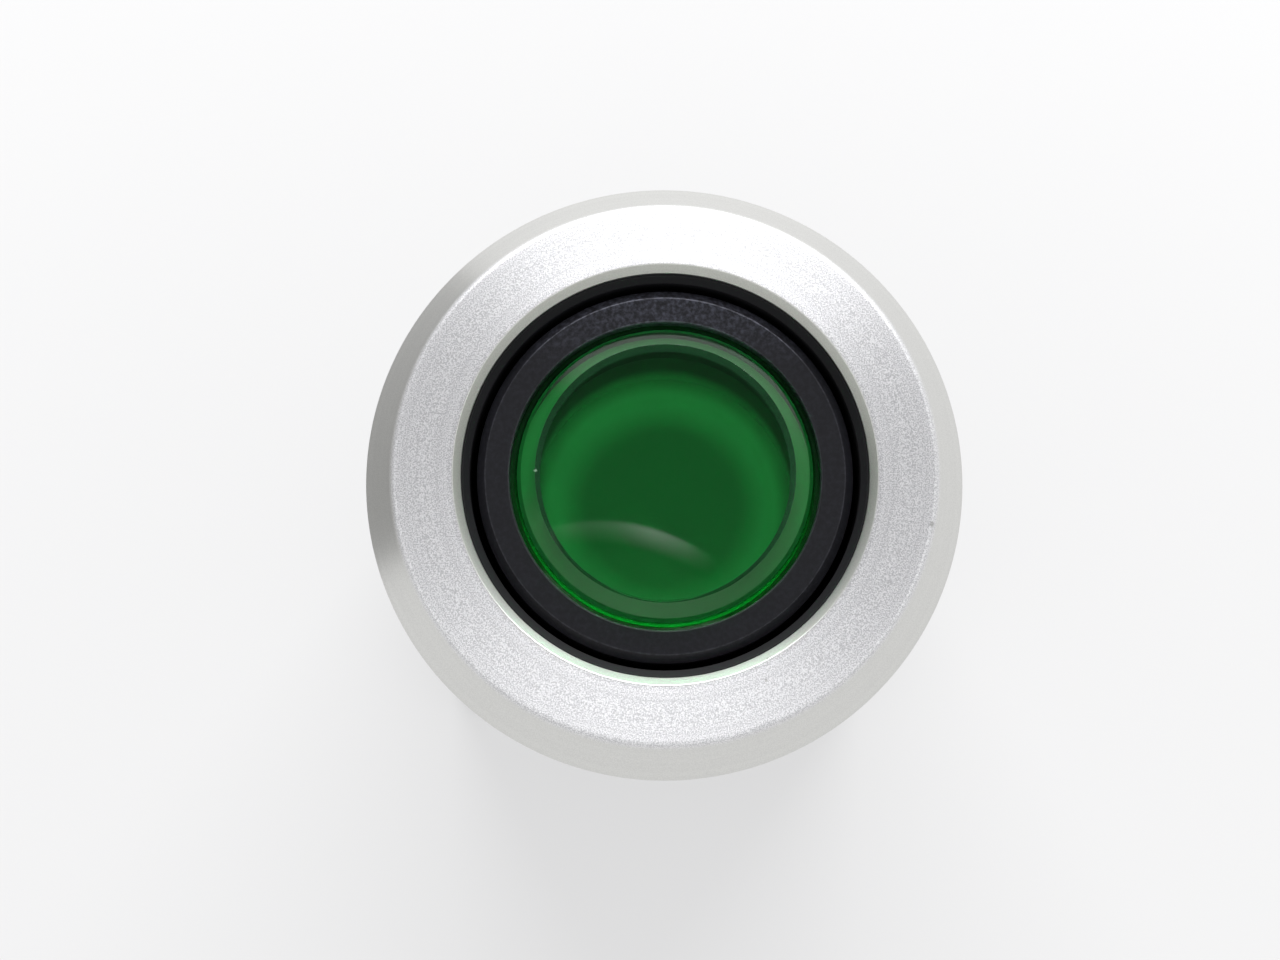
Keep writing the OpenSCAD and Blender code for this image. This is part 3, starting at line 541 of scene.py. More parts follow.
def black_plastic_painted_glow(look, inside, seat_top, diffuser_top):
    """Black plastic of the plunger tube, with painted light inside it: a pale glow painted on the wall just
    over the diffuser, in place of light that spills from the diffuser's edge.
    """
    made, add, at = material("black_plastic_painted_glow")
    soft, painted_glow_top = 0.1 * MM, diffuser_top + look.painted_glow_height
    reach, height = from_axis(add, at), add("SeparateXYZ", [at], "Z")
    # painted light: the haze is a pale glow painted on the black wall, fading upwards from the diffuser
    haze = add("MapRange", [height, diffuser_top, painted_glow_top, 1.0, 0.0], **SMOOTH)
    above = add("MapRange", [height, seat_top - soft, seat_top + soft], **SMOOTH)
    inner = add("MapRange", [reach, inside + soft / 2, inside + soft, 1.0, 0.0], **SMOOTH)
    for share in (above, inner):
        haze = add("Math", [haze, share], operation="MULTIPLY")
    colour = add("Mix", {FACTOR: haze, COLOUR_A: look.black, COLOUR_B: look.haze}, **BLEND)
    add("OutputMaterial", [add("BsdfPrincipled", {"Base Color": colour, "Roughness": 0.5})])
    return made


def plain_metal(name, colour, roughness):
    """Plated or bare metal, uneven in its gloss and a little stained."""
    made, add, at = material(name)
    stain, cloud = 0.8 * MM, 0.3 * MM
    fine = add("TexNoise", {"Vector": at, "Scale": 1 / cloud, "Detail": 3.0})
    wide = add("TexNoise", {"Vector": at, "Scale": 1 / stain, "Detail": 4.0})
    stained = add("MapRange", [wide, 0.35, 0.7], **SMOOTH)
    shades = {FACTOR: stained, COLOUR_A: scaled(colour, 1.08), COLOUR_B: scaled(colour, 0.78)}
    metal = {
        "Base Color": add("Mix", shades, **BLEND),
        "Metallic": 1.0,
        "Roughness": add("MapRange", [fine, 0.3, 0.7, roughness - 0.06, roughness + 0.08]),
    }
    add("OutputMaterial", [add("BsdfPrincipled", metal)])
    return made


def card_glow():
    """Glow of the bright card, by the card's own attribute."""
    made, add, _ = material("card_glow")
    brightest = 3.4
    level = add("Attribute", out="Fac", attribute_name="glow")
    strength = add("Math", [level, brightest], operation="MULTIPLY")
    add("OutputMaterial", [add("Emission", {"Strength": strength})])
    return made


def matte_card(colour):
    """Matte grey card."""
    made, add, _ = material("grey_card")
    add("OutputMaterial", [add("BsdfDiffuse", [colour])])
    return made


def pale_table(look):
    """Matte table, partly a plain pale backdrop where it is seen directly, mirrored or through the lens."""
    made, add, _ = material("pale_table")
    rays = {way: add("LightPath", out=f"Is {way} Ray") for way in ("Camera", "Glossy", "Transmission")}
    mirrored = add("Math", [rays["Glossy"], rays["Transmission"]], operation="MAXIMUM")
    direct = add("Math", [rays["Camera"], 0.55], operation="MULTIPLY")
    indirect = add("Math", [mirrored, 0.95], operation="MULTIPLY")
    share = add("Math", [direct, indirect], operation="MAXIMUM")
    matte = add("BsdfDiffuse", [look.table])
    plain = add("Emission", [look.backdrop, 1.0])
    add("OutputMaterial", [add("MixShader", [share, matte, plain])])
    return made


def soft_room(look):
    """Surroundings: dim low down, palest half way up and dark overhead, with a dark patch on the left."""
    made = bpy.data.worlds.new("soft_room")
    add = fresh(made)
    strength, patch_middle = 2.1, (-0.86, 0.38, 0.34)
    way = add("TexCoord", out="Generated")
    side, rise = add("SeparateXYZ", [way], "Y"), add("SeparateXYZ", [way], "Z")
    # low down and half way up, each from the picture's lower side to its upper side
    low_far = add("MapRange", [side, 0.1, 0.8], **SMOOTH)
    half_far = add("MapRange", [side, -0.1, 0.5], **SMOOTH)
    low = add("Mix", {FACTOR: low_far, COLOUR_A: look.low_near, COLOUR_B: look.low_far}, **BLEND)
    half = add("Mix", {FACTOR: half_far, COLOUR_A: look.half_near, COLOUR_B: look.half_far}, **BLEND)
    # the patch keeps the left side of the lens clear
    facing = add("VectorMath", [way, patch_middle], "Value", operation="DOT_PRODUCT")
    patch = add("MapRange", [facing, 0.8, 0.96], **SMOOTH)
    above = add("MapRange", [rise, 0.1, 0.22], **SMOOTH)
    # each of these covers what comes before it by its share
    colour = low
    for share, cover in (
        (add("Math", [patch, above], operation="MULTIPLY"), look.patch),
        (add("MapRange", [rise, 0.36, 0.62], **SMOOTH), half),
        (add("MapRange", [rise, 0.74, 0.94], **SMOOTH), look.overhead),
        (add("LightPath", out="Is Camera Ray"), look.open_room),
    ):
        colour = add("Mix", {FACTOR: share, COLOUR_A: colour, COLOUR_B: cover}, **BLEND)
    add("OutputWorld", [add("Background", [colour, strength])])
    return made


# Surfaces


def grid(points, close_rows=False, close_columns=False):
    """Points of (rows, columns, 3) as vertices and faces, closed along either direction where asked."""
    rows, columns = points.shape[:2]
    index = np.arange(rows * columns).reshape(rows, columns)
    if close_rows:
        index = np.vstack([index, index[:1]])
    if close_columns:
        index = np.hstack([index, index[:, :1]])
    corners = [index[:-1, :-1], index[:-1, 1:], index[1:, 1:], index[1:, :-1]]
    return points.reshape(-1, 3), np.stack(corners, axis=-1).reshape(-1, 4)


def link(name, data):
    """A new object at the origin, in the scene."""
    made = bpy.data.objects.new(name, data)
    bpy.context.scene.collection.objects.link(made)
    return made


def build(name, *surfaces):
    """One object from surfaces of (vertices, faces): points welded, poles closed, faces outwards."""
    starts = np.cumsum([0] + [len(vertices) for vertices, _ in surfaces])
    mesh = bpy.data.meshes.new(name)
    faces = np.vstack([corners + start for (_, corners), start in zip(surfaces, starts)])
    mesh.from_pydata(np.vstack([vertices for vertices, _ in surfaces]).tolist(), [], faces.tolist())
    shape = bmesh.new()
    shape.from_mesh(mesh)
    bmesh.ops.remove_doubles(shape, verts=shape.verts, dist=WELD)
    bmesh.ops.recalc_face_normals(shape, faces=shape.faces)
    shape.to_mesh(mesh)
    shape.free()
    mesh.shade_smooth()
    return link(name, mesh)


def rounded(points, radii, steps=6):
    """A closed outline with rounded corners.

    Each corner becomes an arc of its radius, tangent to both sides, with one more point a little along each
    side so that the flats stay flat when shaded. An arc takes less than half of either side. A corner without
    a radius stays one point.
    """
    points = np.array(points, float)
    radii = np.broadcast_to(radii, len(points))
    margin, most = 0.012 * MM, 0.45
    share = np.linspace(0, 1, steps + 1)[:, None]
    neighbours = np.roll(points, 1, axis=0), np.roll(points, -1, axis=0)
    out = []
    for corner, before, after, radius in zip(points, *neighbours, radii):
        if radius == 0:
            out.append(corner[None])
            continue
        back, ahead = np.linalg.norm(before - corner), np.linalg.norm(after - corner)
        u, v = (before - corner) / back, (after - corner) / ahead
        half = math.acos(np.clip(u @ v, -1, 1)) / 2
        reach = min(radius / math.tan(half), most * back, most * ahead)
        middle = corner + (u + v) / np.linalg.norm(u + v) * reach / math.cos(half)
        start, end = corner + u * reach - middle, corner + v * reach - middle
        sweep = math.pi - 2 * half
        arc = middle + (np.sin((1 - share) * sweep) * start + np.sin(share * sweep) * end) / math.sin(sweep)
        out.append(np.vstack([corner + u * (reach + margin), arc, corner + v * (reach + margin)]))
    return np.vstack(out)


def revolve(outline, segments=192, shape=None):
    """An outline of (radius, height) turned about Z: x = r cos(angle), y = r sin(angle), z = height.

    shape(r, z, angle) may change the radius. An outline that starts and ends on the axis is closed there.
    """
    r, z = np.array(outline, float).T
    angle = np.linspace(0, 2 * np.pi, segments, endpoint=False)
    radius, height = np.repeat(r[:, None], segments, axis=1), np.repeat(z[:, None], segments, axis=1)
    if shape:
        radius = shape(radius, height, angle)
    points = np.stack([radius * np.cos(angle), radius * np.sin(angle), height], axis=-1)
    return grid(points, close_rows=r[0] > 0 or r[-1] > 0, close_columns=True)


def carry(outline, stations):
    """An outline of (x, z) carried along Y: each station is (y, share), and the share draws it to its middle.

    x, z = middle + (outline - middle) share. A share of 0 closes an end.
    """
    middle = outline.mean(axis=0)
    rows = [np.insert(middle + (outline - middle) * share, 1, y, axis=1) for y, share in stations]
    return grid(np.stack(rows), close_columns=True)


def coil(centre, mean, wire, turns, bottom, top, sides=14, steps=40):
    """A coil spring with closed end turns.

    The wire's middle runs round a circle of the mean radius. Its height rises by one wire in the first and in
    the last turn and evenly between them, and a circle across that path is the wire's skin. Flat discs close
    the ends.
    """
    turn = np.linspace(0, turns, int(turns * steps) + 1)
    ends, heights = [0, 1, turns - 1, turns], [bottom, bottom + wire, top - 2 * wire, top - wire]
    turn = np.concatenate([turn[:1], turn, turn[-1:]])
    height = np.interp(turn, ends, heights) + wire / 2
    half = np.full((len(turn), 1), wire / 2)
    half[[0, -1]] = 0
    around = np.linspace(0, 2 * np.pi, sides, endpoint=False)
    radius, angle = mean + half * np.cos(around), 2 * np.pi * turn[:, None]
    x, y = centre[0] + radius * np.cos(angle), centre[1] + radius * np.sin(angle)
    return grid(np.stack([x, y, height[:, None] + half * np.sin(around)], axis=-1), close_columns=True)


def screw_thread(root, depth, pitch, top, bottom):
    """A radius for revolve: a thread on the root that rises by its pitch in each turn.

    Across the pitch it is a slope cut off flat at crest and root, and it fades out at both ends.
    """
    peak, slope, fading = 1.25, 2.875, 0.8 * pitch

    def radius(r, z, angle):
        phase = (z / pitch + angle / (2 * np.pi)) % 1
        crest = np.clip(peak - slope * np.abs(phase - 0.5), 0, 1)
        fade = np.clip((top - z) / fading, 0, 1) * np.clip((z - bottom) / fading, 0, 1)
        on_root = np.abs(r - root) < WELD
        return np.where(on_root, r + depth * crest * fade, r)

    return radius


def washer_teeth(outer, number, depth):
    """A radius for revolve: V cuts between the teeth, less deep the further from the middle of the cut."""

    def radius(r, z, angle):
        along = ((angle * number / (2 * np.pi)) % 1 - 0.5) * 2 * np.pi / number * outer
        return np.where(r > outer - 2 * depth, r - np.clip(depth - np.abs(along), 0, None), r)

    return radius


def grip_notches(outer, number, size, depth):
    """A radius for revolve: round scoops, where a circle of the notch's size cuts the rim."""

    def radius(r, z, angle):
        turn = 2 * np.pi / number
        off = (angle + turn / 2) % turn - turn / 2
        far = outer + size - depth
        inside = size**2 - (far * np.sin(off)) ** 2
        scoop = np.where(inside > 0, far * np.cos(off) - np.sqrt(np.clip(inside, 0, None)), outer)
        return np.where(r > outer - 2 * depth, np.minimum(r, scoop - (outer - r)), r)

    return radius


def softened(name, node, width):
    """A copy of a CAD node with broken edges: triangles welded, flat areas joined, outward edges bevelled.

    Inward corners stay sharp, so no plastic is added where another piece slides.
    """
    shape = bmesh.new()
    shape.from_mesh(NODES[node].data)
    bmesh.ops.remove_doubles(shape, verts=shape.verts, dist=WELD)
    bmesh.ops.dissolve_limit(shape, angle_limit=FLAT, verts=shape.verts, edges=shape.edges)
    broken = shape.edges.layers.float.new("bevel_weight_edge")
    for edge in shape.edges:
        corner = edge.calc_face_angle(0.0) > SHARP
        edge[broken] = float(corner and edge.is_convex)
        edge.smooth = edge.is_convex or not corner
    for face in shape.faces:
        face.smooth = True
    mesh = bpy.data.meshes.new(name)
    shape.to_mesh(mesh)
    shape.free()
    made = link(name, mesh)
    edges = made.modifiers.new("broken_edges", "BEVEL")
    edges.width = width
    edges.segments = 2
    edges.limit_method = "WEIGHT"
    edges.use_clamp_overlap = False
    flats = made.modifiers.new("flat_faces", "WEIGHTED_NORMAL")
    flats.weight = 100
    flats.keep_sharp = True
    return made


# Pieces


def keep(piece, body, slot, finish, *nodes):
    """The piece rides on a body, stands for CAD nodes, and takes a finish. Its slot is not used."""
    piece.data.materials.append(finish)
    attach(piece, body)
    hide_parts(*nodes)
    return piece


def dress(finish, *nodes):
    """Gives CAD nodes their finish."""
    for node in nodes:
        NODES[node].data.materials.clear()
        NODES[node].data.materials.append(finish)


def looks(context):
    """The push button's settings."""
    return context.scene.push_button


def lens_side(look):
    """Radius of the lens in the ring's window, which the plunger tube below it has too."""
    return radius_of("button_ring") - look.ring.wall - look.lens.gap


def flat_section(node, inner, outer, under=0):
    """Corners of a flat section between two radii, as high as a CAD node or a little under its top."""
    bottom, top = bottom_of(node), top_of(node) - under
    return [(inner, bottom), (outer, bottom), (outer, top), (inner, top)]


class BUTTON_OT_bezel(bpy.types.Operator):
    """Bezel: a low turned ring with a conical flank and a chamfered mouth"""

    bl_idname = "button_parts.bezel"
    bl_label = "Bezel"

    def execute(self, context):
        look, barrel = looks(context).bezel, looks(context).barrel
        outer, top = radius_of("bezel"), top_of("bezel")
        neck, neck_top = barrel.bore + barrel.neck_wall + look.fit, top_of("barrel")
        flange, flange_top = radius_of("barrel") + look.fit, top_of("panel_gasket") + barrel.flange
        face_edge, mouth_edge = outer - look.flank, look.mouth + look.chamfer
        corners = [
            (face_edge, top - look.crown),
            (mouth_edge, top),
            (look.mouth, top - look.chamfer),
            (look.mouth, neck_top),
            (neck, neck_top),
            (neck, flange_top),
            (flange, flange_top),
            (flange, 0),
            (outer, 0),
            (outer, look.foot),
        ]
        outline = rounded(corners, [look.soft] + [look.edge] * (len(corners) - 1))
        finish = anodised_aluminium(look, mouth_edge, face_edge)
        ring = revolve(outline, segments=384)
        keep(build("bezel_ring", ring), "base", "bezel_aluminium", finish, "bezel")
        return {"FINISHED"}


class BUTTON_OT_ring(bpy.types.Operator):
    """Button ring: the black ring that holds the lens"""

    bl_idname = "button_parts.ring"
    bl_label = "Button ring"

    def execute(self, context):
        look = looks(context).ring
        outer, top, bottom = radius_of("button_ring"), top_of("button_ring"), bottom_of("button_ring")
        window, bore, land = outer - look.wall, radius_of("lens") + look.gap, outer - look.chamfer
        corners = [
            (window, top),
            (window, top - look.lip),
            (bore, top - look.lip),
            (bore, bottom),
            (outer, bottom),
            (outer, top - look.chamfer),
            (land, top),
        ]
        outline = rounded(corners, [look.window_edge] + [look.edge] * (len(corners) - 1))
        finish = scuffed_black_plastic(look, land, window + 0.3 * look.window_edge)
        ring = revolve(outline, segments=256)
        keep(build("ring_face", ring), "button", "ring_plastic", finish, "button_ring")
        return {"FINISHED"}


class BUTTON_OT_lens(bpy.types.Operator):
    """Lens: a clear green cap with a chamfered edge, and its gasket"""

    bl_idname = "button_parts.lens"
    bl_label = "Lens"

    def execute(self, context):
        look, light, side = looks(context).lens, looks(context).light, lens_side(looks(context))
        self.cap(look, side)
        # the gasket lies under the flange, around the tube's flared mouth
        mouth = side - light.wall + light.flare_width
        section = flat_section("lens_gasket", mouth, radius_of("lens"), under=look.crisp)
        gasket = revolve(rounded(section, look.edge), segments=128)
        rubber = moulded_plastic("seal_rubber", look.rubber, roughness=0.7)
        keep(build("lens_seal", gasket), "button", "black_rubber", rubber, "lens_gasket")
        return {"FINISHED"}

    def cap(self, look, side):
        """The lens's outline turned about its axis.

        Its land is a shallow dome, whose height falls with the square of the radius.
        """
        land = side - look.side_width - look.chamfer_width
        flange, bottom, land_top = radius_of("lens"), bottom_of("lens"), top_of("lens") - look.crown
        under, flange_top = land_top - look.wall, bottom + look.flange
        side_top, inner = land_top - look.chamfer_height, land - look.inner_set
        corners = [
            (0, under),
            (inner, under),
            (inner + look.inner_width, under - look.inner_height),
            (inner + look.inner_width, bottom),
            (flange, bottom),
            (flange, flange_top),
            (side, flange_top),
            (side, side_top - look.side_height),
            (side - look.side_width, side_top),
            (land, land_top),
            (0, land_top),
        ]
        edge, crisp = look.edge, look.crisp
        radii = [0, look.inner_round, 2 * edge, edge, edge, edge, edge, 6 * edge, crisp, crisp, 0]
        reach = np.linspace(land - 3 * edge, 0, 14)
        dome = np.stack([reach, land_top + look.crown * (1 - (reach / land) ** 2)], axis=-1)
        shell = revolve(np.vstack([rounded(corners, radii)[:-1], dome]), segments=256)
        # the lower third of the steep side glows
        finish = clear_green_plastic(look, side - 0.35 * look.side_width, side - 0.15 * look.side_width)
        keep(build("lens_cap", shell), "button", "lens_green", finish, "lens")


class BUTTON_OT_light(bpy.types.Operator):
    """Light: the plunger tube, the milky diffuser on its seat, and the lamp's dome"""

    bl_idname = "button_parts.light"
    bl_label = "Plunger and diffuser"

    def execute(self, context):
        look, tube = looks(context).light, lens_side(looks(context))
        self.diffuser(look, tube - look.wall)
        self.plunger(look, tube)
        self.lamp(look)
        return {"FINISHED"}

    def diffuser(self, look, inside):
        """A disc that fills the tube, whose dish falls from the rim along a smooth step."""
        radius, top, bottom = inside - 0.1 * look.fit, top_of("diffuser"), bottom_of("diffuser")
        # one more ring close to the edge keeps the rim flat when shaded
        reach = np.append(radius, np.linspace(radius - 0.1 * look.edge, 0, 48))
        step = np.clip((radius - look.rim - reach) / look.dish_slope, 0, 1)
        dish = np.stack([reach, top - look.dish * step**2 * (3 - 2 * step)], axis=-1)
        side = [(0, bottom), (radius - look.edge, bottom), (radius, bottom + look.edge)]
        disc = revolve(np.vstack([side, dish]), segments=128)
        finish = milky_plastic_painted_light_and_shade(look, look.hole, radius)
        keep(build("diffuser_disc", disc), "button", "diffuser_plastic", finish, "diffuser")

    def plunger(self, look, tube):
        """A tube with a head under the ring, a flared mouth, a seat for the diffuser and a clip groove."""
        inside, head, head_low = tube - look.wall, radius_of("plunger"), bottom_of("button_ring")
        top, bottom = top_of("plunger"), bottom_of("plunger")
        seat_top, diffuser_top = bottom_of("diffuser"), top_of("diffuser")
        clip_low, clip_high = bottom_of("retaining_clip") - look.fit, top_of("retaining_clip")
        corners = [
            (inside + look.flare_width, top),
            (inside, top - look.flare_height),
            (inside, seat_top),
            (look.hole, seat_top),
            (look.hole, seat_top - look.seat),
            (inside, seat_top - look.seat),
            (inside, bottom),
            (tube, bottom),
            (tube, clip_low),
            (tube - look.groove, clip_low),
            (tube - look.groove, clip_high),
            (tube, clip_high),
            (tube, head_low),
            (head, head_low),
            (head, top),
        ]
        finish = black_plastic_painted_glow(look, inside, seat_top, diffuser_top)
        shell = revolve(rounded(corners, look.edge), segments=160)
        keep(build("plunger_tube", shell), "button", "barrel_plastic", finish, "plunger")

    def lamp(self, look):
        """A cylinder with a half sphere on top."""
        radius, top, bottom = radius_of("led_dome"), top_of("led_dome"), bottom_of("led_dome")
        angle = np.linspace(0, np.pi / 2, 17)
        half = radius * np.stack([np.cos(angle), np.sin(angle) - 1], axis=-1) + (0, top)
        half[-1, 0] = 0
        shell = revolve(np.vstack([[(0, bottom), (radius, bottom)], half]), segments=96)
        milky = moulded_plastic("milky_lamp", look.dome, roughness=0.3)
        keep(build("lamp_dome_cap", shell), "base", "lamp_dome", milky, "led_dome")


class BUTTON_OT_barrel(bpy.types.Operator):
    """Barrel: neck, flange, threaded shank, key and the seal around the plunger"""

    bl_idname = "button_parts.barrel"
    bl_label = "Barrel"

    def execute(self, context):
        look = looks(context).barrel
        rubber = moulded_plastic("seal_ring_rubber", look.rubber, roughness=0.75)
        black = moulded_plastic("barrel_black", look.black, roughness=0.6, gloss=0.2)
        shell = self.shell(look, lens_side(looks(context)) + look.slide)
        keep(build("barrel_body", shell, self.key(look)), "base", "barrel_plastic", black, "barrel")
        # the seal is a ring of round section
        half = (top_of("plunger_seal") - bottom_of("plunger_seal")) / 2
        angle = np.linspace(0, 2 * np.pi, 24, endpoint=False)
        middle = (radius_of("plunger_seal") - half, bottom_of("plunger_seal") + half)
        section = half * np.stack([np.cos(angle), np.sin(angle)], axis=-1) + middle
        seal = revolve(section, segments=128)
        keep(build("seal_ring", seal), "base", "black_rubber", rubber, "plunger_seal")
        return {"FINISHED"}

    def shell(self, look, guide):
        """The barrel's outline turned about its axis, with the thread on its root."""
        neck_top, end = top_of("barrel"), bottom_of("barrel")
        flange, gasket_top = radius_of("barrel"), top_of("panel_gasket")
        root, neck = look.shank - look.thread, look.bore + look.neck_wall
        mouth = neck_top - (look.neck_wall - look.thread) / 4
        thread_top, thread_end = -look.shank_length - look.thread, end + look.plain_end
        guide_end = -look.well - look.guide
        seal_low, seal_high = bottom_of("plunger_seal") - look.slide, top_of("plunger_seal") + look.slide
        groove = radius_of("plunger_seal") + look.slide
        front = [
            (guide, -look.well),
            (look.bore, -look.well),
            (look.bore, mouth),
            (look.bore + neck_top - mouth, neck_top),
            (neck, neck_top),
            (neck, gasket_top + look.flange),
            (flange, gasket_top + look.flange),
            (flange, gasket_top),
            (look.shank, gasket_top),
            (look.shank, -look.shank_length),
        ]
        rows_a_turn = 14
        rows = int((thread_top - thread_end) / look.pitch * rows_a_turn)
        heights = np.linspace(thread_top, thread_end + look.edge, rows)
        thread = np.stack([np.full(rows, root), heights], axis=-1)
        back = [
            (root, thread_end),
            (root - look.end_step, thread_end),
            (root - look.end_step, end),
            (look.tail, end),
            (look.tail, guide_end),
            (guide, guide_end),
            (guide, seal_low),
            (groove, seal_low),
            (groove, seal_high),
            (guide, seal_high),
        ]
        radii = np.repeat([look.edge, 0, look.edge], [len(front), rows, len(back)])
        outline = rounded(np.vstack([front, thread, back]), radii, steps=3)
        turned = screw_thread(root, look.thread, look.pitch, thread_top, thread_end)
        return revolve(outline, segments=160, shape=turned)

    def key(self, look):
        """A rounded bar on the shank, carried outwards along Y."""
        half = look.key_width / 2
        corners = [(-half, -look.key_length), (half, -look.key_length), (half, 0), (-half, 0)]
        outline = rounded(corners, look.key_edge)
        root, top = look.shank - look.thread, look.shank + look.key_height
        worn = 1 - 0.5 * look.key_edge / half
        return carry(outline, [(root, 0), (root, 1), (top - look.key_edge / 2, 1), (top, worn), (top, 0)])


class BUTTON_OT_fixing(bpy.types.Operator):
    """Fixing: panel gasket, toothed lock washer and notched ring nut"""

    bl_idname = "button_parts.fixing"
    bl_label = "Gasket, washer and nut"

    def execute(self, context):
        look, barrel = looks(context).fixing, looks(context).barrel
        flange = radius_of("barrel")
        hole, root = barrel.shank + look.fit, barrel.shank - barrel.thread + look.fit
        rubber = moulded_plastic("gasket_rubber", barrel.rubber, roughness=0.75)
        flat = rounded(flat_section("panel_gasket", hole, flange), look.gasket_edge)
        keep(build("gasket_ring", revolve(flat)), "base", "black_rubber", rubber, "panel_gasket")
        outer = flange - look.washer_back
        teeth = washer_teeth(outer, look.teeth, look.tooth_cut)
        flat = rounded(flat_section("lock_washer", hole, outer), look.washer_edge)
        washer = revolve(flat, segments=30 * look.teeth, shape=teeth)
        zinc = plain_metal("zinc_plated_steel", look.zinc, roughness=0.32)
        keep(build("washer_ring", washer), "base", "plated_steel", zinc, "lock_washer")
        outer = flange + look.nut_over
        notches = grip_notches(outer, look.notches, look.notch_radius, look.notch_depth)
        flat = rounded(flat_section("ring_nut", root, outer), look.nut_edge)
        nut = revolve(flat, segments=32 * look.notches, shape=notches)
        black = moulded_plastic("nut_black", look.black, roughness=0.5)
        keep(build("nut_ring", nut), "base", "nut_plastic", black, "ring_nut")
        return {"FINISHED"}


class BUTTON_OT_springs(bpy.types.Operator):
    """Springs: the return spring, the pusher springs and the contact springs"""

    bl_idname = "button_parts.springs"
    bl_label = "Springs"

    def execute(self, context):
        look = looks(context).spring
        finish = plain_metal("spring_wire", look.wire, roughness=0.28)
        self.wind("return_spring", "base", look.return_wire, look.return_turns, finish)
        for side in ("no", "nc"):
            self.wind(f"pusher_spring_{side}", "base", look.small_wire, look.pusher_turns, finish)
            self.wind(f"contact_spring_{side}", "button", look.small_wire, look.contact_turns, finish)
        return {"FINISHED"}

    def wind(self, node, body, wire, turns, finish):
        """A coil in the room of a CAD spring. One that stands on the base gets a mesh of its own."""
        (x0, y0, bottom), (x1, y1, top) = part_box(node)
        x, y = (x0 + x1) / 2, (y0 + y1) / 2
        surface = coil((x, y), (x1 - x0 - wire) / 2, wire, turns, bottom, top)
        piece = keep(build(node.replace("spring", "coil"), surface), body, "spring_steel", finish, node)
        if body == "base":
            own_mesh(piece)


class BUTTON_OT_block(bpy.types.Operator):
    """Switch block: collar, housing, covers, contacts, terminals and lamp"""

    bl_idname = "button_parts.block"
    bl_label = "Switch block"

    def execute(self, context):
        look = looks(context).block
        grey = moulded_plastic("dark_grey_plastic", look.grey)
        black = moulded_plastic("block_black_plastic", look.black)
        steel = plain_metal("terminal_steel", look.steel, roughness=0.3)
        for node, slot, finish, edge in (
            ("coupling_collar", "collar_plastic", grey, look.edge),
            ("block_housing", "block_plastic", black, look.edge),
            ("block_cover_left", "cover_plastic", grey, look.edge),
            ("block_cover_right", "cover_plastic", grey, look.edge),
            ("lamp_base_plug", "cover_plastic", grey, look.thin_edge),
            ("clamp_plates", "plated_steel", steel, look.thin_edge),
        ):
            keep(softened(f"{node}_soft", node, edge), "base", slot, finish, node)
        dress(steel, "terminal_screws")
        self.metal(look)
        dress(moulded_plastic("lamp_insulator_glass", look.insulator, roughness=0.2), "led_insulator")
        dress(moulded_plastic("green_pusher_plastic", look.green, roughness=0.45), "pusher_no")
        dress(moulded_plastic("red_pusher_plastic", look.red, roughness=0.45), "pusher_nc")
        return {"FINISHED"}

    def metal(self, look):
        """Finishes of the contacts, the lamp's cap, the set screw and the retaining clip."""
        brass = plain_metal("contact_brass_sheet", look.brass, roughness=0.3)
        for side in ("no", "nc"):
            dress(brass, f"fixed_contact_{side}_a", f"fixed_contact_{side}_b", f"bridge_{side}")
        dress(brass, "lamp_shell", "lamp_centre_contact")
        dress(plain_metal("oiled_steel", look.oiled, roughness=0.3), "collar_set_screw", "retaining_clip")
        dress(plain_metal("nickel_plate", look.nickel, roughness=0.25), "led_cap", "led_tip")


# Stage


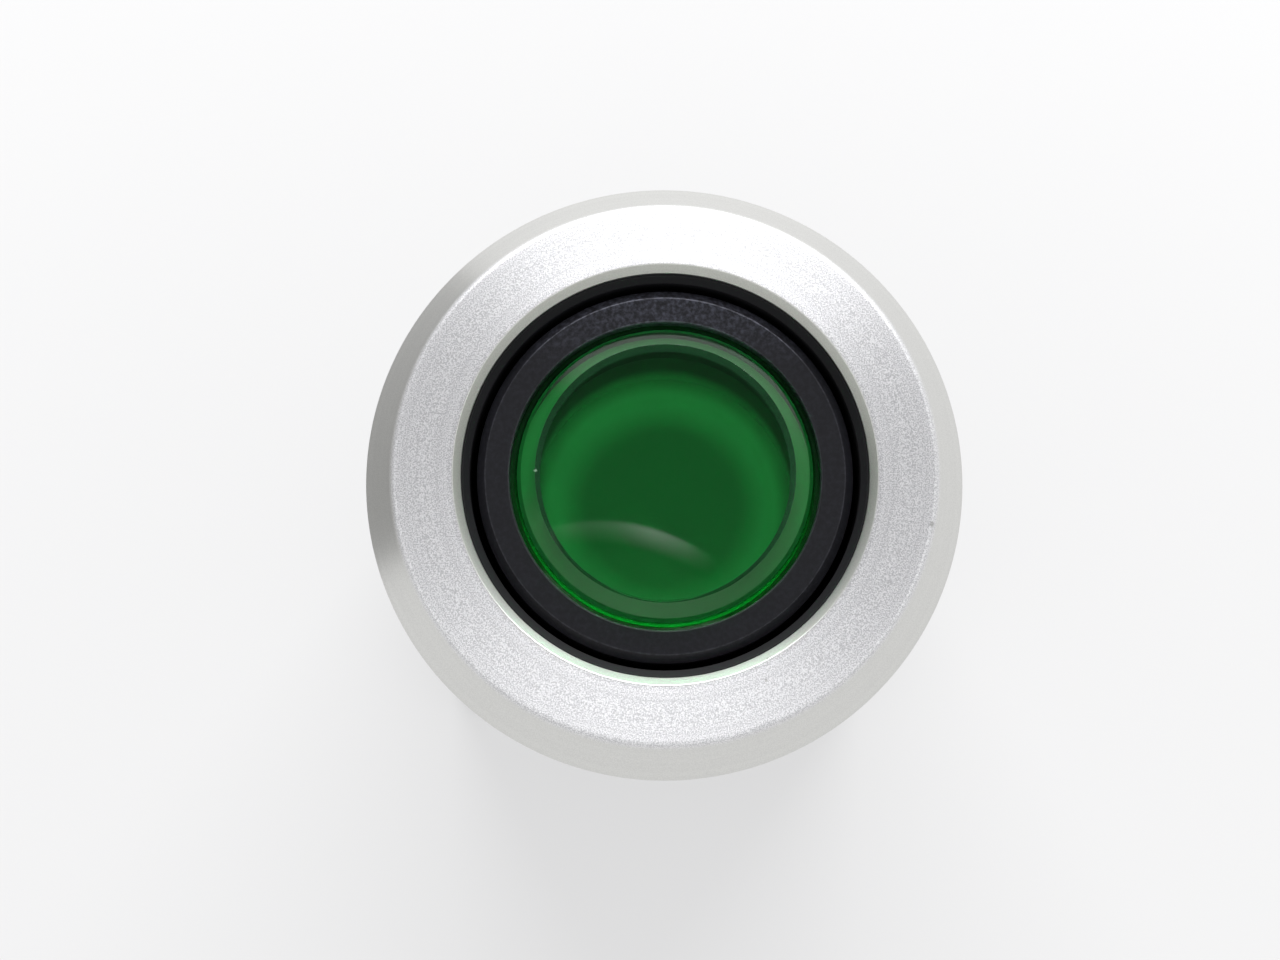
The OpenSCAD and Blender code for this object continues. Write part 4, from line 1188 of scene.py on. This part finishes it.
class BUTTON_OT_stage(bpy.types.Operator):
    """Stage: table, light, cards, surroundings and camera"""

    bl_idname = "button_parts.stage"
    bl_label = "Stage"

    def execute(self, context):
        look, scene = looks(context).stage, context.scene
        floor, half = bottom_of("block_housing"), look.table_width / 2
        x, y = np.meshgrid((-half, half), (-half, half))
        table = build("table", grid(np.stack([x, y, np.full_like(x, floor)], axis=-1)))
        table.data.materials.append(pale_table(look))
        self.bright_card()
        self.grey_card(look, floor)
        self.key(look)
        self.camera(look, looks(context).bezel)
        scene.world = soft_room(look)
        scene.view_settings.view_transform = "Standard"
        return {"FINISHED"}

    def bright_card(self):
        """A curved card above the button, which the lens mirrors.

        u runs across the picture and v from the card's crisp upper edge down to its soft lower edge. The
        upper edge is a parabola. The card glows most at one place along u and fades out at its ends and at
        its lower edge.
        """
        # in millimetres, and the droop for each millimetre squared
        left, right, fade, over = -29.0, 17.0, 8.0, 260.0
        peak, peak_height, droop, depth = -13.0, 26.4, 0.0112, 7.0
        brightest, spread = 1.0, 8.0
        # shares of the brightest glow and of the depth, and how fast the lower edge fades
        base, crisp, falling = 0.25, 0.15, 1.3
        u, v = np.meshgrid(np.linspace(left, right, 61), np.linspace(0, 1, 17))
        y = peak_height - droop * (u - peak) ** 2 - depth * v
        card = build("bright_card", grid(np.stack([u, y, np.full_like(u, over)], axis=-1) * MM))
        ends = np.clip((u - left) / fade, 0, 1) * np.clip((right - u) / fade, 0, 1)
        along = base + (1 - base) * np.exp(-(((u - brightest) / spread) ** 2))
        across = np.clip(v / crisp, 0, 1) * (1 - v) ** falling
        glow = card.data.attributes.new("glow", "FLOAT", "POINT")
        glow.data.foreach_set("value", (ends * along * across).ravel())
        card.data.materials.append(card_glow())
        return card

    def grey_card(self, look, floor):
        """A card that stands on the table along an arc on the left, seen only in the flank's reflection."""
        radius, height, start, end = 62 * MM, 26 * MM, math.radians(128), math.radians(190)
        turn, rise = np.meshgrid(np.linspace(start, end, 25), np.linspace(floor, floor + height, 3))
        points = np.stack([radius * np.cos(turn), radius * np.sin(turn), rise], axis=-1)
        card = build("grey_card", grid(points))
        card.data.materials.append(matte_card(look.card))
        card.visible_camera = False
        card.visible_diffuse = False
        card.visible_shadow = False
        return card

    def key(self, look):
        """A rectangular light that faces the middle of the panel's front."""
        lamp = bpy.data.lights.new("key_light", "AREA")
        lamp.shape = "RECTANGLE"
        lamp.size, lamp.size_y = look.key_width, look.key_height
        lamp.energy = look.key_power
        made = link("key_light", lamp)
        made.location = look.key_place
        made.rotation_euler = (-made.location).to_track_quat("-Z", "Y").to_euler()

    def camera(self, look, bezel):
        """A camera above the button, tilted off its axis.

        Its picture holds the bezel at a given width and place.
        """
        lens = bpy.data.cameras.new("camera")
        made = link("camera", lens)
        outer, aim = radius_of("bezel"), top_of("bezel") / 2
        flat = look.distance * math.cos(look.tilt)
        across, up = flat * math.sin(look.swing), flat * math.cos(look.swing)
        made.location = (-across, -look.distance * math.sin(look.tilt), aim + up)
        made.rotation_euler = (look.tilt, -look.swing, 0.0)
        foot_away = look.distance + aim - bezel.foot
        lens.lens = lens.sensor_width * look.bezel_width / look.picture_width * foot_away / (2 * outer)
        lens.shift_x = 0.5 - look.bezel_across / look.picture_width
        lens.shift_y = (look.bezel_down - look.picture_height / 2) / look.picture_width
        lens.clip_start = 10 * MM
        bpy.context.scene.camera = made


class BUTTON_PT_panel(bpy.types.Panel):
    """Lists the pieces and their settings"""

    bl_idname = "BUTTON_PT_panel"
    bl_label = "Push Button"
    bl_space_type = "VIEW_3D"
    bl_region_type = "UI"
    bl_category = "Button"

    def draw(self, context):
        for piece in PIECES:
            self.layout.operator(piece.bl_idname)
        for name, group in LOOKS.items():
            box = self.layout.box()
            box.label(text=name.capitalize())
            for setting in group.__annotations__:
                box.prop(getattr(looks(context), name), setting)


PIECES = (
    BUTTON_OT_bezel,
    BUTTON_OT_ring,
    BUTTON_OT_lens,
    BUTTON_OT_light,
    BUTTON_OT_barrel,
    BUTTON_OT_fixing,
    BUTTON_OT_springs,
    BUTTON_OT_block,
    BUTTON_OT_stage,
)
CLASSES = (*LOOKS.values(), ButtonLook, *PIECES, BUTTON_PT_panel)


def register():
    """Registers the classes and the settings."""
    for made in CLASSES:
        bpy.utils.register_class(made)
    bpy.types.Scene.push_button = bpy.props.PointerProperty(type=ButtonLook)


def unregister():
    """Removes the settings and the classes."""
    del bpy.types.Scene.push_button
    for made in reversed(CLASSES):
        bpy.utils.unregister_class(made)


def main():
    register()
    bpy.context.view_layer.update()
    bpy.ops.button_parts.bezel()
    bpy.ops.button_parts.ring()
    bpy.ops.button_parts.lens()
    bpy.ops.button_parts.light()
    bpy.ops.button_parts.barrel()
    bpy.ops.button_parts.fixing()
    bpy.ops.button_parts.springs()
    bpy.ops.button_parts.block()
    bpy.ops.button_parts.stage()


if __name__ == "__main__":
    main()
